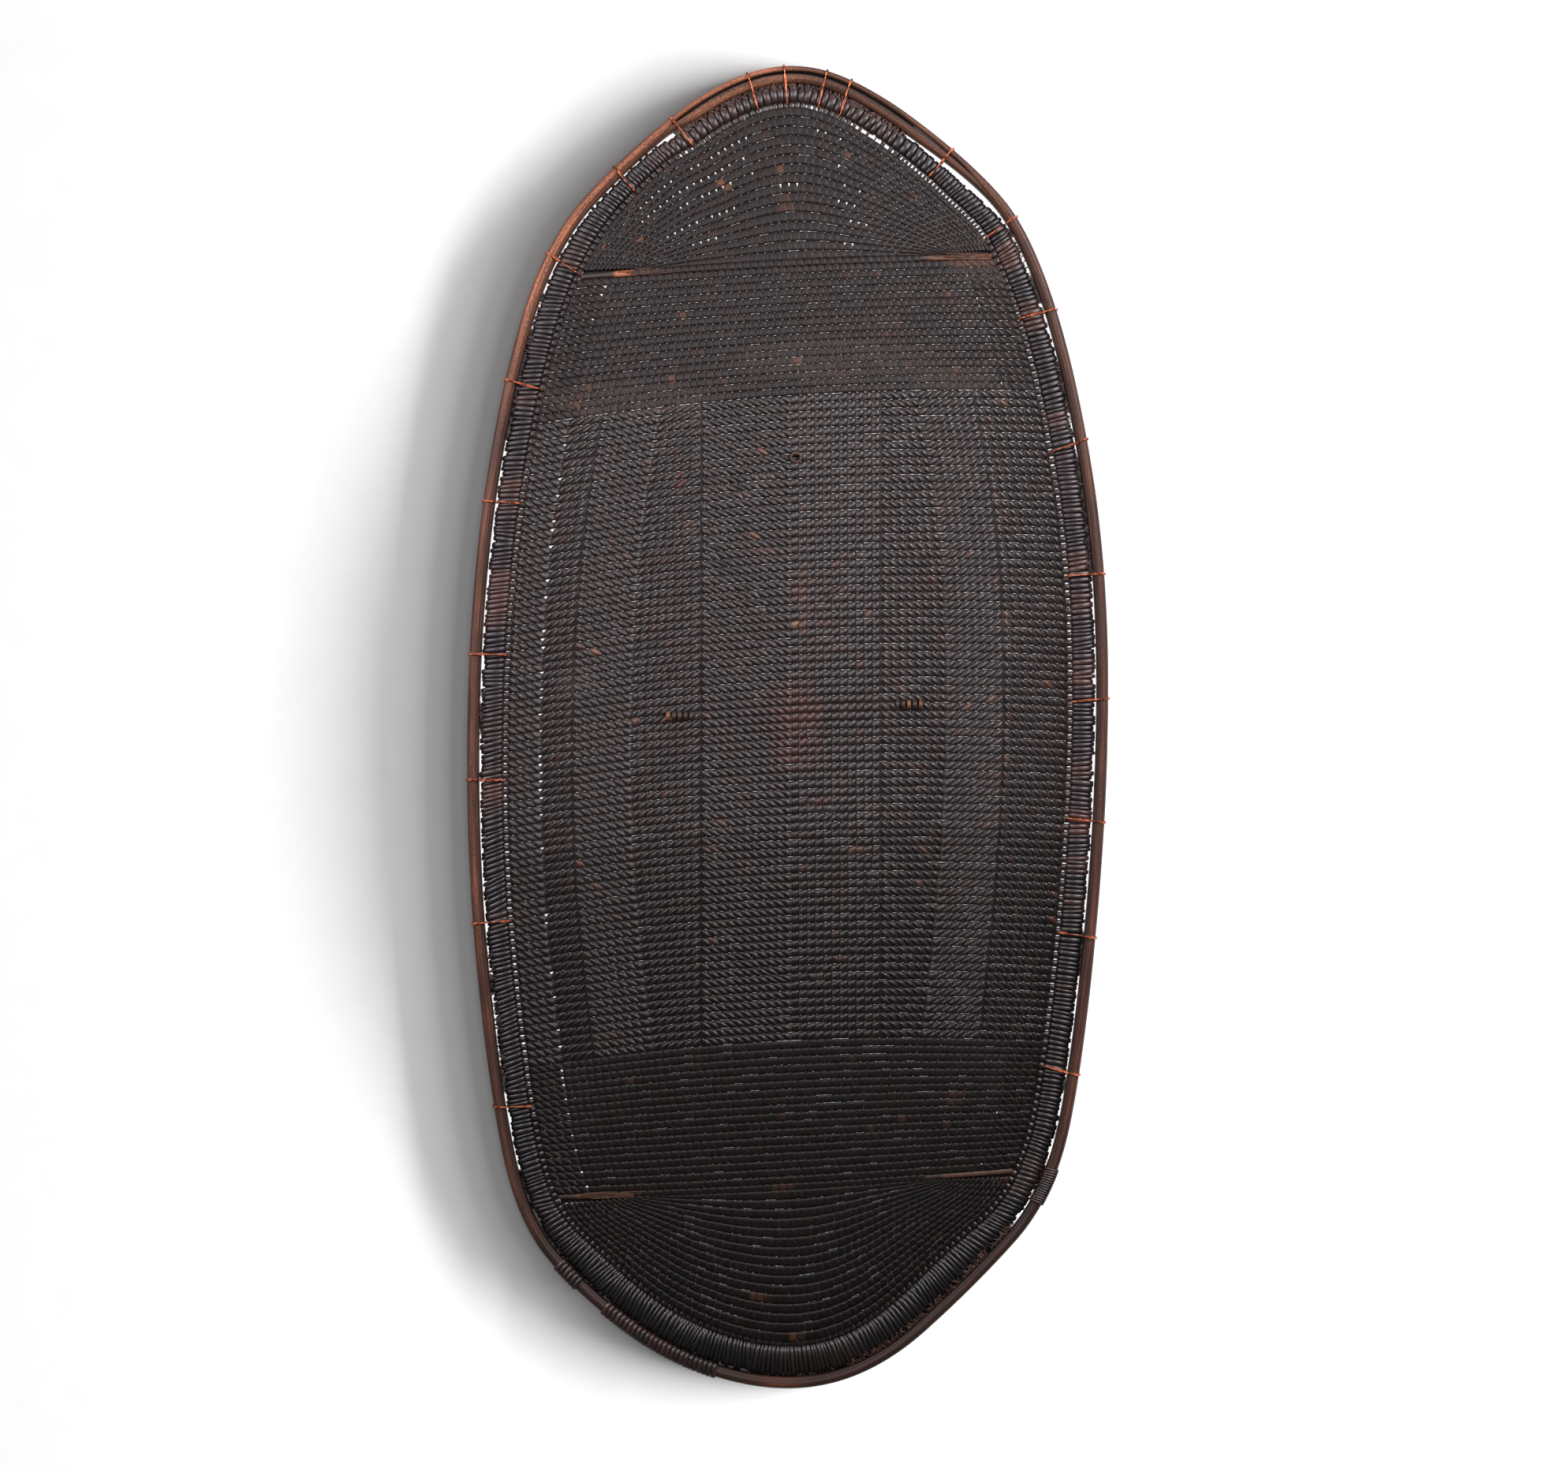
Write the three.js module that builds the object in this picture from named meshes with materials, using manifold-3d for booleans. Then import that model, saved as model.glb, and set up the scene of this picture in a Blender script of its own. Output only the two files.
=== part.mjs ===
// A tall plaited cane shield with a bent cane rim, lying on its back.
// Millimetres. The face looks up (+Z), the shield's top points to +Y, and the rim canes rest on z = 0.
import * as THREE from 'three';
import { mergeVertices } from 'three/addons/utils/BufferGeometryUtils.js';
import Module from 'manifold-3d';

// ---- driving dimensions ----
// Control polygon of the rim's outer edge, clockwise from the top; the edge is a closed quadratic
// B-spline about 1200 tall and 582 wide, a little uneven as bent cane is.
const rimGuide = [
  [10, 605], [82, 577], [173, 505], [218, 450], [258, 334], [289, 150], [290, -59], [269, -291],
  [242, -426], [166, -510], [82, -585], [-7, -606], [-108, -578], [-192, -515], [-248, -448],
  [-274, -319], [-294, -111], [-290, 120], [-262, 310], [-219, 447], [-138, 530], [-62, 587],
];
const stationsPerSpan = 4;        // cross sections along each span of the rim
const outerCane = { from: 0, width: 5.6, height: 17 };
const innerCane = { from: 5.9, width: 5.1, height: 15.5 };
const rimWidth = outerCane.width + innerCane.width + 0.3;
// Round the top the inner cane stands off the outer one and is fuller, and the roll makes room for it.
// The stretches are distances clockwise from the rim's highest point.
const topParting = {
  gap: 2.2,
  fuller: 3.2,
  cane: { from: -105, easeIn: 40, to: 90, easeOut: 140 },
  roll: { from: -115, easeIn: 50, to: 185, easeOut: 70 },
};
const rollGap = { side: 2.4, end: 1.7 };            // daylight between the rim and the edge roll
const rollWidth = { side: 20.6, top: 16.5, bottom: 27.5 };
const roll = { low: 2.4, high: 15.2 };
const stitchGap = 2.6;            // pinhole line between the edge roll and the woven panel
const endsBegin = 470;            // distance from the middle where the rounded ends begin
const endsSettled = 560;

const panel = { edgeTop: 14, rise: 52, thickness: 7.5 };
const panelRings = [0.93, 0.8, 0.62, 0.4, 0.2];     // rings between the panel's edge and its middle
const hole = { x: 6, y: 241, radius: 2.7, sides: 10 };
const crossRod = { radius: 2.2, sunk: 2.9, clearance: 0.4, steps: 14 };
const crossRods = [
  { name: 'upper_cross_rod', y: 417.5, slope: 0.05 },
  { name: 'lower_cross_rod', y: -413.8, slope: 0.058 },
];

const wire = { radius: 0.6, clearance: 0.35 };
// Where the wire ties sit, as distances along the rim clockwise from its highest point.
const wireTies = [25, 50, 160, 245, 335, 460, 580, 695, 805, 910, 1035,
  1855, 2025, 2155, 2270, 2410, 2520, 2640, 2740, 2810, 2890, 2925];

const cuffThickness = 1.3;
const rimSleeves = [
  { name: 'corner_cuff', from: 1125, to: 1160 },
  { name: 'long_lower_wrapping', from: 1522, to: 1642 },
  { name: 'short_lower_wrapping', from: 1673, to: 1700 },
];

// The grip follows the slope of the rows; its ends are narrow tongues that the lashings go round.
const grip = { y: 14.5, slope: 0.05, halfLength: 124, halfWidth: 12, barLow: 3, barHigh: 21, padInner: 86 };
const tongue = { from: 80, halfWidth: 3.4 };
const lashings = [
  { name: 'left_grip_lashing', x: -98 },
  { name: 'right_grip_lashing', x: 107 },
];
const lashing = { width: 26, thickness: 1.2, clearance: 0.4 };

// ---- the rim's outline ----
const guide = rimGuide.map(([x, y]) => new THREE.Vector2(x, y));
const midpoint = (a, b) => new THREE.Vector2().addVectors(a, b).multiplyScalar(0.5);
const smoothStep = (t) => THREE.MathUtils.smoothstep(t, 0, 1);
const mix = THREE.MathUtils.lerp;

function sampleOutline(perSpan) {
  const points = [];
  guide.forEach((corner, i) => {
    const before = guide[(i + guide.length - 1) % guide.length];
    const after = guide[(i + 1) % guide.length];
    const span = new THREE.QuadraticBezierCurve(midpoint(before, corner), corner, midpoint(corner, after));
    for (let k = 0; k < perSpan; k += 1) points.push(span.getPoint(k / perSpan));
  });
  return points;
}

const outline = sampleOutline(stationsPerSpan);
const stationCount = outline.length;
const wrap = (i) => (i + stationCount) % stationCount;

// ---- stations by distance along the rim ----
const lengthAt = [0];
for (let i = 1; i <= stationCount; i += 1) {
  lengthAt.push(lengthAt[i - 1] + outline[wrap(i)].distanceTo(outline[i - 1]));
}
const rimLength = lengthAt[stationCount];
const topStation = outline.reduce((best, p, i) => (p.y > outline[best].y ? i : best), 0);
const distanceOf = (i) => (lengthAt[i] - lengthAt[topStation] + rimLength) % rimLength;

// How far a stretch round the top has set in, from 0 to 1, at a distance along the rim.
function parting(distance, { from, easeIn, to, easeOut }) {
  const signed = distance > rimLength / 2 ? distance - rimLength : distance;
  return smoothStep((signed - from) / easeIn + 1) * smoothStep((to - signed) / easeOut + 1);
}
const innerEdge = (distance) => rimWidth + (topParting.gap + topParting.fuller) * parting(distance, topParting.cane);

// Inward normals. Those used far from the rim are averaged over a few stations, so that the inner
// edges keep round corners where the rim turns sharply.
function inwardNormal(i) {
  const along = new THREE.Vector2().subVectors(outline[wrap(i + 1)], outline[wrap(i - 1)]).normalize();
  return new THREE.Vector2(along.y, -along.x);
}
const rimNormals = outline.map((_, i) => inwardNormal(i));
const softNormals = outline.map((_, i) => {
  const sum = new THREE.Vector2();
  for (let k = -3; k <= 3; k += 1) sum.add(rimNormals[wrap(i + k)]);
  return sum.normalize();
});

// Widths change from the sides to the rounded ends.
const endBlend = (y) => smoothStep((Math.abs(y) - endsBegin) / (endsSettled - endsBegin));
const gapAt = (y) => mix(rollGap.side, rollGap.end, endBlend(y));
const rollWidthAt = (y) => mix(rollWidth.side, y > 0 ? rollWidth.top : rollWidth.bottom, endBlend(y * 1.08));
const rollFrom = (i) => rimWidth + gapAt(outline[i].y)
  + (topParting.gap + topParting.fuller) * parting(distanceOf(i), topParting.roll);
const rollTo = (i) => rollFrom(i) + rollWidthAt(outline[i].y);
const panelInset = (i) => rollTo(i) + stitchGap;

// A point a given distance inside station i's outline; near the rim it follows the true normal.
function insetPoint(i, inset) {
  const soft = smoothStep((inset - rimWidth) / rimWidth);
  const normal = rimNormals[i].clone().lerp(softNormals[i], soft).normalize();
  return outline[i].clone().addScaledVector(normal, inset);
}

// ---- mesh helpers ----
function closedMesh(vertices, triangles) {
  const geometry = new THREE.BufferGeometry();
  geometry.setAttribute('position', new THREE.Float32BufferAttribute(vertices.flat(), 3));
  geometry.setIndex(triangles.flat());
  return geometry;
}

// Skins rows of vertices: each row is a closed loop, and the rows close on each other too.
function ringOfSections(sections) {
  const rows = sections.length;
  const size = sections[0].length;
  const triangles = [];
  for (let i = 0; i < rows; i += 1) {
    for (let k = 0; k < size; k += 1) {
      const next = (i + 1) % rows;
      const a = i * size + k;
      const b = i * size + ((k + 1) % size);
      const c = next * size + ((k + 1) % size);
      const d = next * size + k;
      triangles.push([a, b, c], [a, c, d]);
    }
  }
  return facingOut(closedMesh(sections.flat(), triangles));
}

// Skins rows of vertices between two flat ends.
function capped(sections) {
  const rows = sections.length;
  const size = sections[0].length;
  const triangles = [];
  for (let i = 0; i + 1 < rows; i += 1) {
    for (let k = 0; k < size; k += 1) {
      const a = i * size + k;
      const b = i * size + ((k + 1) % size);
      const c = (i + 1) * size + ((k + 1) % size);
      const d = (i + 1) * size + k;
      triangles.push([a, b, c], [a, c, d]);
    }
  }
  const last = (rows - 1) * size;
  for (let k = 1; k + 1 < size; k += 1) {
    triangles.push([0, k + 1, k], [last, last + k, last + k + 1]);
  }
  return facingOut(closedMesh(sections.flat(), triangles));
}

// Turns a closed mesh the right way out if its signed volume is negative.
function facingOut(geometry) {
  const position = geometry.getAttribute('position');
  const index = geometry.getIndex().array;
  const corner = (k) => new THREE.Vector3().fromBufferAttribute(position, index[k]);
  let volume = 0;
  for (let t = 0; t < index.length; t += 3) volume += corner(t).dot(corner(t + 1).cross(corner(t + 2)));
  if (volume < 0) {
    for (let t = 0; t < index.length; t += 3) [index[t + 1], index[t + 2]] = [index[t + 2], index[t + 1]];
  }
  return geometry;
}

const wasm = await Module();
wasm.setup();

function solidOf(geometry) {
  const bare = geometry.clone();
  bare.deleteAttribute('normal');
  bare.deleteAttribute('uv');
  const merged = mergeVertices(bare, 1e-4);
  return new wasm.Manifold(new wasm.Mesh({
    numProp: 3,
    vertProperties: new Float32Array(merged.getAttribute('position').array),
    triVerts: new Uint32Array(merged.getIndex().array),
  }));
}

function cut(geometry, cutters) {
  let solid = solidOf(geometry);
  for (const cutter of cutters) solid = solid.subtract(solidOf(cutter));
  const mesh = solid.getMesh();
  const result = new THREE.BufferGeometry();
  result.setAttribute('position', new THREE.BufferAttribute(new Float32Array(mesh.vertProperties), 3));
  result.setIndex(new THREE.BufferAttribute(new Uint32Array(mesh.triVerts), 1));
  return result;
}

function finish(color, roughness, metalness = 0) {
  return new THREE.MeshStandardMaterial({ color, roughness, metalness });
}

const group = new THREE.Group();
function addPiece(name, geometry, material) {
  geometry.computeVertexNormals();
  const mesh = new THREE.Mesh(geometry, material);
  mesh.name = name;
  group.add(mesh);
}

// ---- places along the rim ----
// The station before a distance from the rim's highest point, and how far past it the distance lies.
function locate(distance) {
  const target = (lengthAt[topStation] + distance) % rimLength;
  let i = 0;
  while (lengthAt[i + 1] <= target) i += 1;
  return { i, t: (target - lengthAt[i]) / (lengthAt[i + 1] - lengthAt[i]) };
}

// The local frame at a distance along the rim: a point for each inset, and the directions.
function rimFrame(distance) {
  const { i, t } = locate(distance);
  const at = (inset) => insetPoint(i, inset).lerp(insetPoint(wrap(i + 1), inset), t);
  const inward = new THREE.Vector2().subVectors(at(rimWidth), at(0)).normalize();
  const value = (f) => mix(f(i), f(wrap(i + 1)), t);
  return { at, inward, along: new THREE.Vector2(-inward.y, inward.x), value };
}

// ---- rim canes ----
// Both canes lift off the ground a little before and after a sleeve, so that it fits under them.
const liftReach = 45;
const liftedAt = (distance) => rimSleeves.some((s) => distance > s.from - liftReach && distance < s.to + liftReach);

// A cane's section: flat underneath where it rests, bowed at the sides, a little crowned on top.
function caneSection(i, cane) {
  const low = liftedAt(distanceOf(i)) ? cuffThickness + 0.7 : 0;
  const part = cane === innerCane ? parting(distanceOf(i), topParting.cane) : 0;
  const from = cane.from + topParting.gap * part;
  const width = cane.width + topParting.fuller * part;
  const { height } = cane;
  return [
    [from + width * 0.2, low], [from + width * 0.8, low], [from + width, height * 0.45],
    [from + width * 0.75, height], [from + width * 0.25, height], [from, height * 0.45],
  ].map(([inset, z]) => [...insetPoint(i, inset).toArray(), z]);
}

// Notches under the canes let the wire ties pass without touching what the shield lies on; a lean of
// the wire against the chord of the rim takes up the slack.
const notchSlack = 0.6;
const tieNotches = wireTies.map((distance) => {
  const { at, inward } = rimFrame(distance);
  const notch = new THREE.BoxGeometry(rimWidth + 20, 2 * (wire.radius + wire.clearance + notchSlack), 3.8);
  notch.rotateZ(Math.atan2(inward.y, inward.x));
  return notch.translate(...at(rimWidth / 2).toArray(), 0);
});

function rimCane(cane) {
  return cut(ringOfSections(outline.map((_, i) => caneSection(i, cane))), tieNotches);
}

const redCane = finish(0x5f4840, 0.5);
addPiece('outer_rim_cane', rimCane(outerCane), redCane);
addPiece('inner_rim_cane', rimCane(innerCane), finish(0x4a3731, 0.55));

// ---- edge roll ----
function rollSection(i) {
  const a = rollFrom(i);
  const b = rollTo(i);
  const middle = (roll.low + roll.high) / 2;
  return [
    [mix(a, b, 0.22), roll.low], [mix(a, b, 0.78), roll.low], [b, middle - 1],
    [mix(a, b, 0.82), roll.high - 0.6], [mix(a, b, 0.5), roll.high], [mix(a, b, 0.18), roll.high - 0.6],
    [a, middle - 1],
  ].map(([inset, z]) => [...insetPoint(i, inset).toArray(), z]);
}
addPiece('edge_roll', ringOfSections(outline.map((_, i) => rollSection(i))), finish(0x3f3838, 0.6));

// ---- woven panel: a shallow dome inside the roll ----
const panelEdge = outline.map((_, i) => insetPoint(i, panelInset(i)));
const edgeAngles = panelEdge.map((p) => Math.atan2(p.x, p.y));

// How far out a point lies, from 0 in the middle of the panel to 1 at its edge.
function outness(x, y) {
  const angle = Math.atan2(x, y);
  for (let i = 0; i < stationCount; i += 1) {
    const a = panelEdge[i];
    const b = panelEdge[wrap(i + 1)];
    const turn = THREE.MathUtils.euclideanModulo(angle - edgeAngles[i], 2 * Math.PI);
    const width = THREE.MathUtils.euclideanModulo(edgeAngles[wrap(i + 1)] - edgeAngles[i], 2 * Math.PI);
    if (turn <= width) {
      // The ray from the middle through the point meets the edge chord a-b.
      const ab = new THREE.Vector2().subVectors(b, a);
      return ab.cross(new THREE.Vector2(x, y)) / ab.cross(a);
    }
  }
  return 1;
}
const domeTop = (x, y) => panel.edgeTop + panel.rise * (1 - outness(x, y) ** 2);

function domedPanel() {
  const rings = [1, ...panelRings];
  const layer = (lift) => rings.flatMap((r) => panelEdge.map((p) => [
    p.x * r, p.y * r, panel.edgeTop + panel.rise * (1 - r * r) + lift]));
  const top = [...layer(0), [0, 0, panel.edgeTop + panel.rise]];
  const bottom = [...layer(-panel.thickness), [0, 0, panel.edgeTop + panel.rise - panel.thickness]];
  const n = stationCount;
  const centre = rings.length * n;
  const under = top.length;
  const triangles = [];
  for (let i = 0; i < n; i += 1) {
    const j = wrap(i + 1);
    for (let r = 0; r + 1 < rings.length; r += 1) {
      const [a, b, c, d] = [r * n + i, r * n + j, (r + 1) * n + j, (r + 1) * n + i];
      triangles.push([a, c, b], [a, d, c], [under + a, under + b, under + c], [under + a, under + c, under + d]);
    }
    const [e, f] = [(rings.length - 1) * n + i, (rings.length - 1) * n + j];
    triangles.push([e, centre, f], [under + e, under + f, under + centre]);
    triangles.push([i, j, under + j], [i, under + j, under + i]);
  }
  return facingOut(closedMesh([...top, ...bottom], triangles));
}

// A bar that follows the dome across the shield: its section is given as [along Y, up] pairs.
function acrossThePanel(rod, section, reach) {
  const ends = [-1, 1].map((side) => {
    let x = 0;
    while (outness(x + side, rod.y + rod.slope * (x + side)) < 1) x += side;
    return x + side * reach;
  });
  const steps = Array.from({ length: crossRod.steps + 1 }, (_, k) => mix(ends[0], ends[1], k / crossRod.steps));
  return capped(steps.map((x) => {
    const y = rod.y + rod.slope * x;
    return section.map(([dy, up]) => [x, y + dy, domeTop(x, y) + up]);
  }));
}

const hexagon = (radius) => Array.from({ length: 6 }, (_, k) => {
  const angle = (k / 6) * 2 * Math.PI;
  return [Math.cos(angle) * radius, Math.sin(angle) * radius - crossRod.sunk];
});
const channelHalf = crossRod.radius + crossRod.clearance;
const channelFloor = -crossRod.sunk - channelHalf;
const channelSection = [[-channelHalf, channelFloor], [channelHalf, channelFloor], [channelHalf, 6], [-channelHalf, 6]];

const panelHole = new THREE.CylinderGeometry(hole.radius, hole.radius, 60, hole.sides).rotateX(Math.PI / 2)
  .translate(hole.x, hole.y, domeTop(hole.x, hole.y));

// Each lashing passes through a pair of slots in the panel, one above and one below a tongue of the grip.
const gripY = (x) => grip.y + grip.slope * x;
const lashingWall = tongue.halfWidth + lashing.clearance;
const lashingSlots = lashings.flatMap(({ x }) => [-1, 1].map((edge) => new THREE.BoxGeometry(
  lashing.width + 2 * lashing.clearance, lashing.thickness + 2 * lashing.clearance, 60)
  .rotateZ(Math.atan(grip.slope))
  .translate(x, gripY(x) + edge * (lashingWall + lashing.thickness / 2), domeTop(x, gripY(x)))));

addPiece('woven_panel', cut(domedPanel(), [
  ...crossRods.map((rod) => acrossThePanel(rod, channelSection, 8)), panelHole, ...lashingSlots,
]), finish(0x35302f, 0.65));

const barkBrown = finish(0x4b382c, 0.7);
crossRods.forEach((rod) => addPiece(rod.name, acrossThePanel(rod, hexagon(crossRod.radius), -1), barkBrown));

// A strand laid round the small hole.
const bindingProfile = [[hole.radius + 0.4, 0.4], [hole.radius + 3, 0.4], [hole.radius + 2.6, 1.8],
  [hole.radius + 1, 1.8], [hole.radius + 0.4, 0.4]].map(([r, z]) => new THREE.Vector2(r, z));
addPiece('hole_binding', facingOut(mergeVertices(new THREE.LatheGeometry(bindingProfile, 12)
  .deleteAttribute('normal').deleteAttribute('uv').rotateX(Math.PI / 2)
  .translate(hole.x, hole.y, domeTop(hole.x, hole.y)), 1e-4)), finish(0x7a5a44, 0.7));

// ---- wire ties ----
// A closed loop of square wire in the upright plane across the rim, given as [inset, z] pairs.
function wireLoop(distance) {
  const { at, along, value } = rimFrame(distance);
  const far = value(rollTo) + stitchGap / 2;
  const near = -wire.radius - wire.clearance;
  const low = wire.radius + wire.clearance;
  const overRim = outerCane.height + low;
  const overRoll = roll.high + low;
  const inner = innerEdge(distance) + 1;
  const path = [
    [near, low], [near, outerCane.height - 1], [outerCane.width * 0.25, overRim], [outerCane.width, overRim],
    [inner, overRoll + 0.6], [far - 3, overRoll - 0.2], [far, roll.high - 2.5], [far, roll.low + 1.5],
    [far - 2, low], [inner, low],
  ];
  return ringOfSections(path.map(([inset, z], k) => {
    const before = path[(k + path.length - 1) % path.length];
    const after = path[(k + 1) % path.length];
    const run = new THREE.Vector2(after[0] - before[0], after[1] - before[1]).normalize();
    return [[1, 1], [1, -1], [-1, -1], [-1, 1]].map(([side, out]) => {
      const point = at(inset + run.y * out * wire.radius);
      return [point.x + along.x * side * wire.radius, point.y + along.y * side * wire.radius,
        z - run.x * out * wire.radius];
    });
  }));
}
const copper = finish(0xb4653a, 0.35, 0.9);
wireTies.forEach((distance, k) => addPiece(`wire_tie_${k + 1}`, wireLoop(distance), copper));

// ---- sleeves wound round both rim canes ----
function rimSleeve({ from, to }) {
  const between = outline.map((_, i) => distanceOf(i)).filter((d) => d > from + 1 && d < to - 1);
  const crown = outerCane.height + 0.3;
  const outer = { a: -cuffThickness - 0.3, b: rimWidth + cuffThickness, low: 0.1, high: crown + cuffThickness };
  const inner = { a: -0.3, b: rimWidth + 0.3, low: outer.low + cuffThickness, high: crown };
  const loopOf = (box, frame) => [[box.a, box.low], [box.b, box.low], [box.b, box.high], [box.a, box.high]]
    .map(([inset, z]) => [...frame.at(inset).toArray(), z]);
  const frames = [from, ...between.sort((p, q) => p - q), to].map(rimFrame);
  // Outside wall forward, inside wall back: the rows close into one ring-shaped sleeve.
  const rows = [...frames.map((f) => loopOf(outer, f)), ...frames.reverse().map((f) => loopOf(inner, f))];
  return ringOfSections(rows);
}
const blackCane = finish(0x1f1b1a, 0.6);
rimSleeves.forEach((sleeve) => addPiece(sleeve.name, rimSleeve(sleeve), blackCane));

// ---- hand grip behind the panel ----
// The pads keep clear of the flat facets under the dome, which hang a little below the true curve.
const facetSag = 1.3;
const underside = (x) => domeTop(x, grip.y + grip.halfWidth) - panel.thickness - facetSag;
const tipDepth = 14;
const barEnd = 64;
const heel = (x) => mix(grip.barLow, underside(grip.halfLength) - tipDepth, (x - barEnd) / (grip.halfLength - barEnd));
const gripHalf = [
  [barEnd, grip.barLow], [grip.halfLength, heel(grip.halfLength)], [grip.halfLength, underside(grip.halfLength)],
  [grip.padInner, underside(grip.padInner)], [grip.padInner - 5, mix(grip.barHigh, underside(grip.padInner), 0.45)],
  [grip.padInner - 14, grip.barHigh + 4], [grip.padInner - 28, grip.barHigh],
];
const gripProfile = new THREE.Shape([...gripHalf, ...gripHalf.map(([x, z]) => [-x, z]).reverse()]
  .map(([x, z]) => new THREE.Vector2(x, z)));
const gripBar = new THREE.ExtrudeGeometry(gripProfile, { depth: 2 * grip.halfWidth, bevelEnabled: false });
gripBar.rotateX(Math.PI / 2).translate(0, grip.halfWidth, 0);
const tongueSides = [-1, 1].flatMap((end) => [-1, 1].map((side) => new THREE.BoxGeometry(100, 20, 100)
  .translate(end * (tongue.from + 50), side * (tongue.halfWidth + 10), 40)));
addPiece('hand_grip', cut(gripBar, tongueSides).rotateZ(Math.atan(grip.slope)).translate(0, grip.y, 0),
  finish(0x54402f, 0.7));

// ---- lashings: bands through the panel and round the grip's tongues ----
function lashingBand(middle) {
  const face = (x) => domeTop(x, gripY(x)) + 0.5;
  const back = (x) => heel(Math.abs(x)) - lashing.clearance - 0.2;
  const loop = (x, out) => [
    [x, gripY(x) - lashingWall - out, back(x) - out], [x, gripY(x) + lashingWall + out, back(x) - out],
    [x, gripY(x) + lashingWall + out, face(x) + out], [x, gripY(x) - lashingWall - out, face(x) + out]];
  const [left, right] = [middle - lashing.width / 2, middle + lashing.width / 2];
  return ringOfSections([loop(left, lashing.thickness), loop(right, lashing.thickness),
    loop(right, 0), loop(left, 0)]);
}
lashings.forEach(({ name, x }) => addPiece(name, lashingBand(x), barkBrown));

// The origin is under the middle of the whole shield.
const box = new THREE.Box3().setFromObject(group);
group.position.set(-(box.min.x + box.max.x) / 2, -(box.min.y + box.max.y) / 2, -box.min.z);

export default group;
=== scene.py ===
import math

import bpy
import mathutils
import numpy as np
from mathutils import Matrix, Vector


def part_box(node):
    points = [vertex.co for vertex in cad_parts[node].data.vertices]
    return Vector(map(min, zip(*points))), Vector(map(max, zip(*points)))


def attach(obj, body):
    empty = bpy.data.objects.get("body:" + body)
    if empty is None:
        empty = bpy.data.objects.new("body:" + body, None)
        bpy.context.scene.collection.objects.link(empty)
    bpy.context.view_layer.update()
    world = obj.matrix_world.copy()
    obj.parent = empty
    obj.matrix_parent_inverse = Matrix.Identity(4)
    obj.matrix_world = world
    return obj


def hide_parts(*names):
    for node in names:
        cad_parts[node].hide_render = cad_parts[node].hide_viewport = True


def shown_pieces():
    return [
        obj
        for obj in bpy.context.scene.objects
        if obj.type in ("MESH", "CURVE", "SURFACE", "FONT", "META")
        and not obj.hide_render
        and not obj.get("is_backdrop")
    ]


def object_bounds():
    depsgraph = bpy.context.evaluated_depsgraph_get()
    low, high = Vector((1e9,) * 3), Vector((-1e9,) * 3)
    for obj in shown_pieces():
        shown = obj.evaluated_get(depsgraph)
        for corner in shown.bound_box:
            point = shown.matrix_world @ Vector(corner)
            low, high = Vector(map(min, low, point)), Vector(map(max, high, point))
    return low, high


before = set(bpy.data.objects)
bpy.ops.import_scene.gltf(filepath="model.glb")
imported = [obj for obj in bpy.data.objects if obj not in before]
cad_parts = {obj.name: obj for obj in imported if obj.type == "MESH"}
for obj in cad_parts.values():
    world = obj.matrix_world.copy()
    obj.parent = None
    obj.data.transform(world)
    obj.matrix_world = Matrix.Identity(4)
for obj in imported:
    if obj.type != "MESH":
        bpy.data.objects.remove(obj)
cadBox = [list(corner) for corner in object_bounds()]
print("frame loaded")

# Lengths are millimetres from the middle of the woven panel until a mesh is made.
mm = 0.001
chance = np.random.default_rng(41)

# The rim's outer edge is a closed spline round these corners, clockwise from the shield's top.
rimGuide = [
    (10, 605), (82, 577), (173, 505), (218, 450), (258, 334), (289, 150), (290, -59), (269, -291),
    (242, -426), (166, -510), (82, -585), (-7, -606), (-108, -578), (-192, -515), (-248, -448),
    (-274, -319), (-294, -111), (-290, 120), (-262, 310), (-219, 447), (-138, 530), (-62, 587),
]
edge = {
    "spanSteps": 24,                  # stations along each span of the guide
    "coarseSteps": 4,                 # stations of the CAD rim, which place the shield in the frame
    "rimWidth": 11.0,
    "gapSide": 2.4, "gapEnd": 1.7,    # daylight between the rim and the edge roll
    "rollSide": 20.6, "rollTop": 16.5, "rollBottom": 27.5,
    "partGap": 2.2, "partFuller": 3.2,    # round the top the inner cane stands off and is fuller
    "partCane": (-105, 40, 90, 140), "partRoll": (-115, 50, 185, 70),    # from, ease, to, ease
    "stitchGap": 2.6,                 # pinhole line between the roll and the panel
    "endsBegin": 470, "endsSettled": 560,
    "softSpans": 0.75,                # the inner edges follow normals averaged over this many spans
}
panel = {"edgeTop": 14.0, "rise": 52.0}


def smoothStep(t):
    t = np.clip(t, 0, 1)
    return t * t * (3 - 2 * t)


def mix(a, b, t):
    return a + (b - a) * t


def unit(v):
    return v / np.linalg.norm(v, axis=-1, keepdims=True)


def alongAndOut(path):
    # the directions along a closed path and square to it
    along = unit(np.roll(path, -1, 0) - np.roll(path, 1, 0))
    return along, np.stack([along[:, 1], -along[:, 0]], 1)


def lengths(line):
    # how far along a line each of its points is
    return np.concatenate([[0], np.cumsum(np.linalg.norm(np.diff(line, axis=0), axis=1))])


def atHeight(level, z):
    # points on the level with their heights added
    return np.concatenate([level, np.broadcast_to(z, level.shape[:-1])[..., None]], -1)


def roundAngles(count, start=0.0):
    return np.linspace(start, start + 2 * math.pi, count, endpoint=False)


def splineThrough(guide, steps):
    corners = np.array(guide, float)
    before = (np.roll(corners, 1, 0) + corners) / 2
    after = (corners + np.roll(corners, -1, 0)) / 2
    t = (np.arange(steps) / steps)[None, :, None]
    points = (1 - t) ** 2 * before[:, None] + 2 * t * (1 - t) * corners[:, None] + t * t * after[:, None]
    return points.reshape(-1, 2)


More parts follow.
